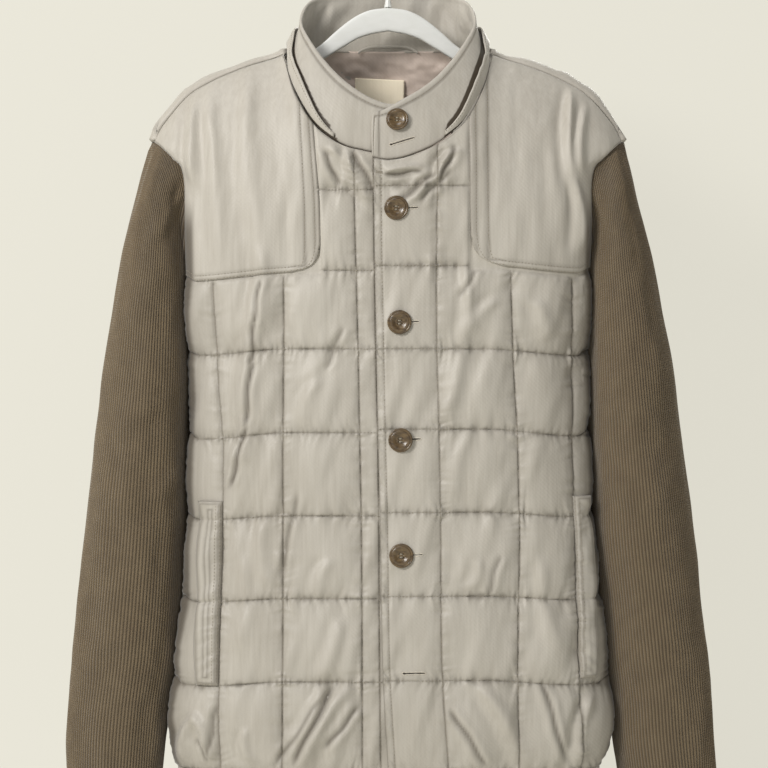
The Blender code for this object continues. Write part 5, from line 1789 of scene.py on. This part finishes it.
    def band(self, place: Array, sign: Array, lap: Array) -> None:
        """The band outside the foot: its top edge stands off the collar and leaves a slot, which painted
        shadow on the collar behind it darkens.

        Args:
            place: Places along the collar.
            sign: The wearer's side of each, as the sign of X.
            lap: How far each place stands in front of the collar's middle or behind it.
        """
        keep = slice(*self.band_cut)
        place, sign, lap = place[0, keep], sign[0, keep], lap[keep]
        in_from_end = np.minimum(np.arange(len(place)), np.arange(len(place))[::-1])
        from_tip = in_from_end * self.band_step
        tall, level = self.band_height(from_tip), np.linspace(0, 1, 12)[:, None]
        slot = smooth(from_tip / 0.12) * (1 - 0.8 * smooth((from_tip - 0.16) / 0.24)) * (1 + 0.5 * (sign > 0))
        up = self.band_foot + tall * level
        stand = (1.2 + 3.8 * slot) * np.interp(level, (0, 0.5, 1), (0.3, 0.8, 1.0))
        stand = self.wall / 2 + SEAM_GAP + self.band_clear + stand
        centre = self.middle(up, np.broadcast_to(place, up.shape), np.broadcast_to(sign, up.shape))
        base = centre + self.normal[6, keep] * (lap * up + stand)[..., None]
        way = grid_normals(base)
        rim = np.minimum((1 - level) * tall * 55, in_from_end[None] * 2.0)
        half = way * (self.band_wall / 2 * turned_edge(rim, 2, 0.03))[..., None]
        self.runs.append(((base + half)[8], way[8]))
        made = Piece("collar_foot_band", "shell", ("collar_band",)).slab(
            base + half, base - half, self.finishes.trim
        )


@dataclass
class HemBand:
    """The gathered band below the hem seam, its ends lapped as the fronts are."""

    finishes: Wardrobe
    waves: int = 54
    per_wave: int = 12
    under_lap: float = 2.9
    tall: float = 47.0
    inset: float = 1.5
    wall: float = 2.2

    def build(self) -> None:
        """Make the band: a ring of soft gathers, of uneven depth, that even out at the seam."""
        count = self.waves * self.per_wave + 1
        turn = np.radians(np.linspace(-90, 270 + self.under_lap, count))[None]
        share = np.linspace(1, 0, 22)[:, None]
        z = HEM - SEAM_GAP - (self.tall - SEAM_GAP) * share + 0 * turn
        x, y = (
            (np.where(way > 0, read(BODY, "z", ahead, z), read(BODY, "z", behind, z)) - self.inset)
            * power_of(way, 2 / SECTION_POWER)
            for way, ahead, behind in ((np.cos(turn), "left", "right"), (np.sin(turn), "back", "front"))
        )
        away = unit(np.stack([x, y * 2.0, 0 * x], -1))
        degrees = np.degrees(turn)
        phase = np.arange(count)[None] * 2 * np.pi / self.per_wave
        phase = phase + 1.2 * drift(degrees / 9 + 50, 0 * turn, 91)
        uneven = 0.7 + 0.5 * drift(degrees / 11 + 70, share * 1.5 + 0 * turn, 92)
        gather = (np.cos(phase) * 1.5 + 0.8) * uneven
        full = np.sin(np.pi * np.clip(share * 0.92 + 0.04, 0, 1)) ** 0.6
        lap = np.clip(np.linspace(1, -1, count) * 12 - 11, 0, 1)[None] * OVERLAP_LIFT
        outer = np.stack([x, y, z], -1) + away * (gather * full + lap)[..., None]
        made = Piece("gathered_hem_band", "shell", ("hem_band",)).slab(
            outer, outer - away * self.wall, self.finishes.shell
        )


@dataclass
class Button:
    """One horn button, turned with a dished middle and two pairs of holes, and its thread."""

    number: int
    finishes: Wardrobe
    around: int = 72
    radius: float = 11.8
    face: float = 2.3
    pivot: float = 11.6
    tilts: tuple[float, ...] = (8.0, 0.0, 0.0, 0.0, 0.0)
    centre: Array = field(init=False)
    back: float = field(init=False)
    scale: float = field(init=False)
    lean: float = field(init=False)

    def build(self) -> None:
        """Make the button on the box of its solid, leaned as that is, with thread through its holes."""
        low, high = (np.array(corner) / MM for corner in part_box(f"button_{self.number}"))
        self.centre, self.back = (low + high) / 2, high[1]
        self.scale = (high[0] - low[0]) / 2 / self.radius
        self.lean = math.radians(self.tilts[self.number - 1])
        self.turned()
        self.thread()

    def placed(self, points: Array) -> Array:
        """Points turned from the button's own frame (height towards the viewer) to the jacket's.

        Args:
            points: The points in the button's own frame.

        Returns:
            The points in the jacket's frame.
        """
        x, across, height = (points[..., k] * self.scale for k in range(3))
        sine, cosine = math.sin(self.lean), math.cos(self.lean)
        y = self.back - self.pivot * self.scale * sine - height * cosine + across * sine
        z = self.centre[2] + across * cosine + (height - 2.0 * self.scale) * sine
        return np.stack([self.centre[0] + x, y, z], -1)

    def turned(self) -> None:
        """The turned profile with four small pits."""
        radius, height = BUTTON["radius"], BUTTON["height"]
        dish = np.linspace(0.25, 4.6, 12)
        fine = np.concatenate([dish, radius[5:-1]])
        tall = np.concatenate([np.interp(dish, radius[:6], height[:6]), height[5:-1]])
        turn = turns(self.around)
        x, y = np.outer(fine, np.cos(turn)), np.outer(fine, np.sin(turn))
        z = tall[:, None] * np.ones_like(x)
        for angle in np.radians((45, 135, 225, 315)):
            far = np.hypot(x - 2.1 * np.cos(angle), y - 2.1 * np.sin(angle))
            z = z - 1.5 * np.exp(-((far / 0.75) ** 4)) * (tall[:, None] > 2.2)
        middles = [(0, 0, self.face), (0, 0, 0.05)]
        points = self.placed(np.concatenate([np.stack([x, y, z], -1).reshape(-1, 3), middles]))
        made = Piece(f"horn_button_{self.number}", "button", (f"button_{self.number}",)).mesh(
            points, tube_faces(len(fine), self.around), self.finishes.horn
        )
        made.data.set_sharp_from_angle(angle=math.radians(50))

    def thread(self) -> None:
        """Four strands in two bars between the holes, each a thin arched tube."""
        groups, faces, rings, sides, reach = [], [], 9, 8, 1.6
        along, a = np.meshgrid(np.linspace(0, 1, rings), turns(sides), indexing="ij")
        for middle in (-1.45 - 0.28, -1.45 + 0.28, 1.45 - 0.28, 1.45 + 0.28):
            z = 1.7 + 1.1 * np.sin(np.pi * along) ** 0.5 + 0.3 * np.sin(a)
            ring = np.stack([2 * reach * along - reach, middle + 0.3 * np.cos(a), z], -1).reshape(-1, 3)
            start = len(groups) * (rings * sides + 2)
            groups.append(self.placed(np.concatenate([ring, [(-reach, middle, 1.7), (reach, middle, 1.7)]])))
            faces += [tuple(k + start for k in face)[::-1] for face in tube_faces(rings, sides)]
        piece = Piece(f"button_thread_{self.number}", "button")
        piece.mesh(np.concatenate(groups), faces, self.finishes.thread)


@dataclass
class Buttonholes:
    """Worked slits beside the buttons, one on the collar's tab, and the bar that holds the placket's top."""

    finishes: Wardrobe
    front: Front
    collar: Collar
    tab_slit: tuple[float, ...] = (1.5, -221.6, 26.0, -214.0)
    bar_height: float = -248.2
    slot_depth: float = 0.6
    slot_rise: float = 0.3
    runs: list[Path] = field(default_factory=list)
    slots: list[Array] = field(default_factory=list)

    def build(self) -> None:
        """Make the bar tack, the thread of all the buttonholes as one piece, and dark sheets of painted
        shadow in their slits.
        """
        for row in zip(*BUTTONHOLES.values()):
            self.work(np.array(row[:2]), np.array(row[2:]), self.front.point)
        self.work(np.array(self.tab_slit[:2]), np.array(self.tab_slit[2:]), self.on_tab)
        x = np.linspace(-12.0, -4.8, 12)
        bar = [self.front.point(x, self.bar_height + step - 0.12 * (x + 8)) for step in (-0.9, 0.0, 0.9)]
        Sewing(self.finishes.thread, 0.9, 1.2, 0.42, 0.2).build("bar_tack", bar)
        Sewing(self.finishes.pale_thread, 0.9, 1.2, 0.5, 0.25).build("buttonhole_thread", self.runs)
        count, faces = self.slots[0].shape[0] // 2, []
        low = np.arange(count)
        sides = np.stack([low, np.roll(low, -1), np.roll(low, -1) + count, low + count], -1)
        for base in range(0, len(self.slots) * 2 * count, 2 * count):
            faces += (sides + base).tolist() + [(low[::-1] + base).tolist(), (low + count + base).tolist()]
        Piece("buttonhole_slit_shadows", "shell").mesh(np.concatenate(self.slots), faces, self.finishes.shadow)

    def on_tab(self, x: Array, z: Array) -> Path:
        """Points on the collar's tab, and their normals."""
        surface, normal = self.collar.surface[:, :60], self.collar.normal[:, :60]
        row, column = locate(surface[..., [0, 2]], np.stack(np.broadcast_arrays(x, z), -1))
        return sample(surface, row, column), sample(normal, row, column)

    def work(self, start: Array, end: Array, place: Callable[[Array, Array], Path]) -> None:
        """One slit between two points of the cloth, its eyelet at the start, stitches round it, and painted
        shadow in it.

        Args:
            start: The slit's start, at the eyelet.
            end: Its other end.
            place: What puts X and Z on the cloth.
        """
        half = np.linalg.norm(end - start) / 2
        way = (end - start) / (2 * half)
        side, turn = np.array([-way[1], way[0]]), np.linspace(0, 2 * np.pi, 49)
        for wide, eyelet in ((1.2, 0.7), (0.42, 2.0)):
            along = (half + wide - 0.7) * power_of(np.cos(turn), 0.45)
            across = wide * power_of(np.sin(turn), 0.8) * (1 + eyelet * bell(along + half - 1.2, 1.3))
            flat = (start + end) / 2 + along[:, None] * way + across[:, None] * side
            points, normals = place(flat[:, 0], flat[:, 1])
            if eyelet < 1:
                self.runs.append((points, normals))
        # A thin dark sheet of painted shadow fills the slit.
        points, normals = points[:-1], normals[:-1]
        sunk, raised = points - normals * self.slot_depth, points + normals * self.slot_rise
        self.slots.append(np.concatenate([sunk, raised]))


@dataclass
class Hanger:
    """The plain hanger: a finely rounded body, and the hook's own mesh with the same satin finish."""

    finishes: Wardrobe
    reach: float = 204.8
    sections: int = 161
    around: int = 32
    thick: float = 8.0
    taper_from: float = 200.0
    taper: float = 4.9
    squareness: float = 0.42

    def build(self) -> None:
        """Sweep a rounded section along the arched body, and dress the hook."""
        x = np.linspace(-self.reach, self.reach, self.sections)[:, None]
        end = np.sqrt(1 - np.clip((np.abs(x) - self.taper_from) / self.taper, 0, 1) ** 2)
        top, height = (read(HANGER, "out", name, np.abs(x)) for name in ("top", "height"))
        turn = turns(self.around)[None]
        y = self.thick / 2 * power_of(np.cos(turn), self.squareness) * end
        z = top - height / 2 + height / 2 * power_of(np.sin(turn), self.squareness) * end
        points, faces = capped(np.stack([x + 0 * y, y, z], -1)), tube_faces(self.sections, self.around)
        Piece("hanger_arch", "hanger", ("hanger_body",)).mesh(points, faces, self.finishes.plastic)
        for slot in bpy.data.objects["hanger_hook"].material_slots:
            slot.material = self.finishes.plastic


def light(name: str, place: Place, aim: Place, size: float, power: float) -> None:
    """A square area light.

    Args:
        name: The light's name.
        place: Where it stands, in metres.
        aim: What it faces.
        size: Its side.
        power: Its watts.
    """
    data = bpy.data.lights.new(name, "AREA")
    data.size, data.energy, data.color = size, power, (1.0, 0.98, 0.955)
    made, way = in_scene(name, data), np.subtract(aim, place)
    pitch = math.atan2(way[2], math.hypot(way[0], way[1]))
    made.location, made.rotation_euler = place, (math.pi / 2 + pitch, 0.0, math.atan2(-way[0], way[1]))


def cream_wall() -> bpy.types.Material:
    """The pale wall: matt, evenly bright by its own glow, and clear from behind and to the rear light.

    Returns:
        The material.
    """
    made, wires, shader = principled("cream_wall")
    wires.fill(shader, {
        "Base Color": colour((112, 111, 105)), "Roughness": 1.0, "Specular IOR Level": 0.0,
        "Emission Color": colour((238, 235, 222)), "Emission Strength": 0.75,
    })
    ray = wires.add("LightPath").outputs["Is Shadow Ray"]
    either = wires.sums(wires.add("NewGeometry").outputs["Backfacing"], "MAXIMUM", ray)
    clear = wires.add("BsdfTransparent").outputs[0]
    mix = wires.add("MixShader", {0: either, 1: shader.outputs[0], 2: clear}).outputs[0]
    wires.fill(made.node_tree.nodes["Material Output"], {"Surface": mix})
    return made


def studio() -> None:
    """The pale wall and floor, a broad soft light from the left, three weaker ones, and the camera."""
    back, floor, curve = 0.35, CAD_BOX[0][2] - 0.25, 0.4
    arc = np.linspace(0, np.pi / 2, 20)
    bend = np.stack([back + curve * np.sin(arc) - curve, floor + curve - curve * np.cos(arc)], -1)
    profile = np.concatenate([[[-4.5, floor]], bend, [[back, 3.0]]])
    x, y = np.meshgrid([-4.0, 4.0], profile[:, 0])
    points = np.stack([x, y, np.repeat(profile[:, 1:], 2, 1)], -1).reshape(-1, 3)
    data = bpy.data.meshes.new("pale_sweep")
    data.from_pydata(points.tolist(), [], quads(np.arange(len(points)).reshape(-1, 2)))
    data.shade_smooth()
    data.materials.append(cream_wall())
    in_scene("pale_sweep", data)
    light("window", (-2.0, -2.55, 0.95), (0.0, 0.0, -0.45), 1.0, 84.0)
    light("fill", (0.2, -3.6, -0.4), (0.0, 0.0, -0.5), 2.0, 9.0)
    light("top", (-0.6, -0.9, 1.9), (0.0, 0.1, -0.4), 1.0, 15.5)
    light("rear", (0.9, 3.0, 0.8), (0.0, 0.0, -0.45), 1.0, 42.0)
    scene, world = bpy.context.scene, bpy.data.worlds.new("room")
    world.use_nodes = True
    glow = world.node_tree.nodes["Background"].inputs
    glow["Color"].default_value, glow["Strength"].default_value = (0.93, 0.95, 1.0, 1.0), 0.19
    lens = bpy.data.cameras.new("camera")
    lens.lens, lens.sensor_width = 126.6, 36.0
    camera = in_scene("camera", lens)
    camera.location, camera.rotation_euler = (-0.004, -2.7, -0.454), (math.pi / 2, 0.0, 0.0)
    scene.world, scene.camera = world, camera
    scene.view_settings.view_transform = "Standard"


def main() -> None:
    """Build the studio and every sub-assembly in order."""
    logging.basicConfig(level=logging.INFO, format="%(message)s")
    studio()
    finishes = Wardrobe()
    fronts = {side: Front(side, finishes) for side in Side}
    back = Back(finishes)
    back.build()
    for side in Side:
        Sleeve(side, finishes).build()
    collar = Collar(finishes, fronts)
    collar.build()
    HemBand(finishes).build()
    for number in range(1, 6):
        Button(number, finishes).build()
    Hanger(finishes).build()
    Buttonholes(finishes, fronts[Side.LEFT], collar).build()
    sewing = Sewing(finishes.thread)
    sewing.build("front_stitches", fronts[Side.RIGHT].runs + fronts[Side.LEFT].runs)
    sewing.build("back_stitches", back.runs)
    sewing.build("collar_stitches", collar.runs)


if __name__ == "__main__":
    main()
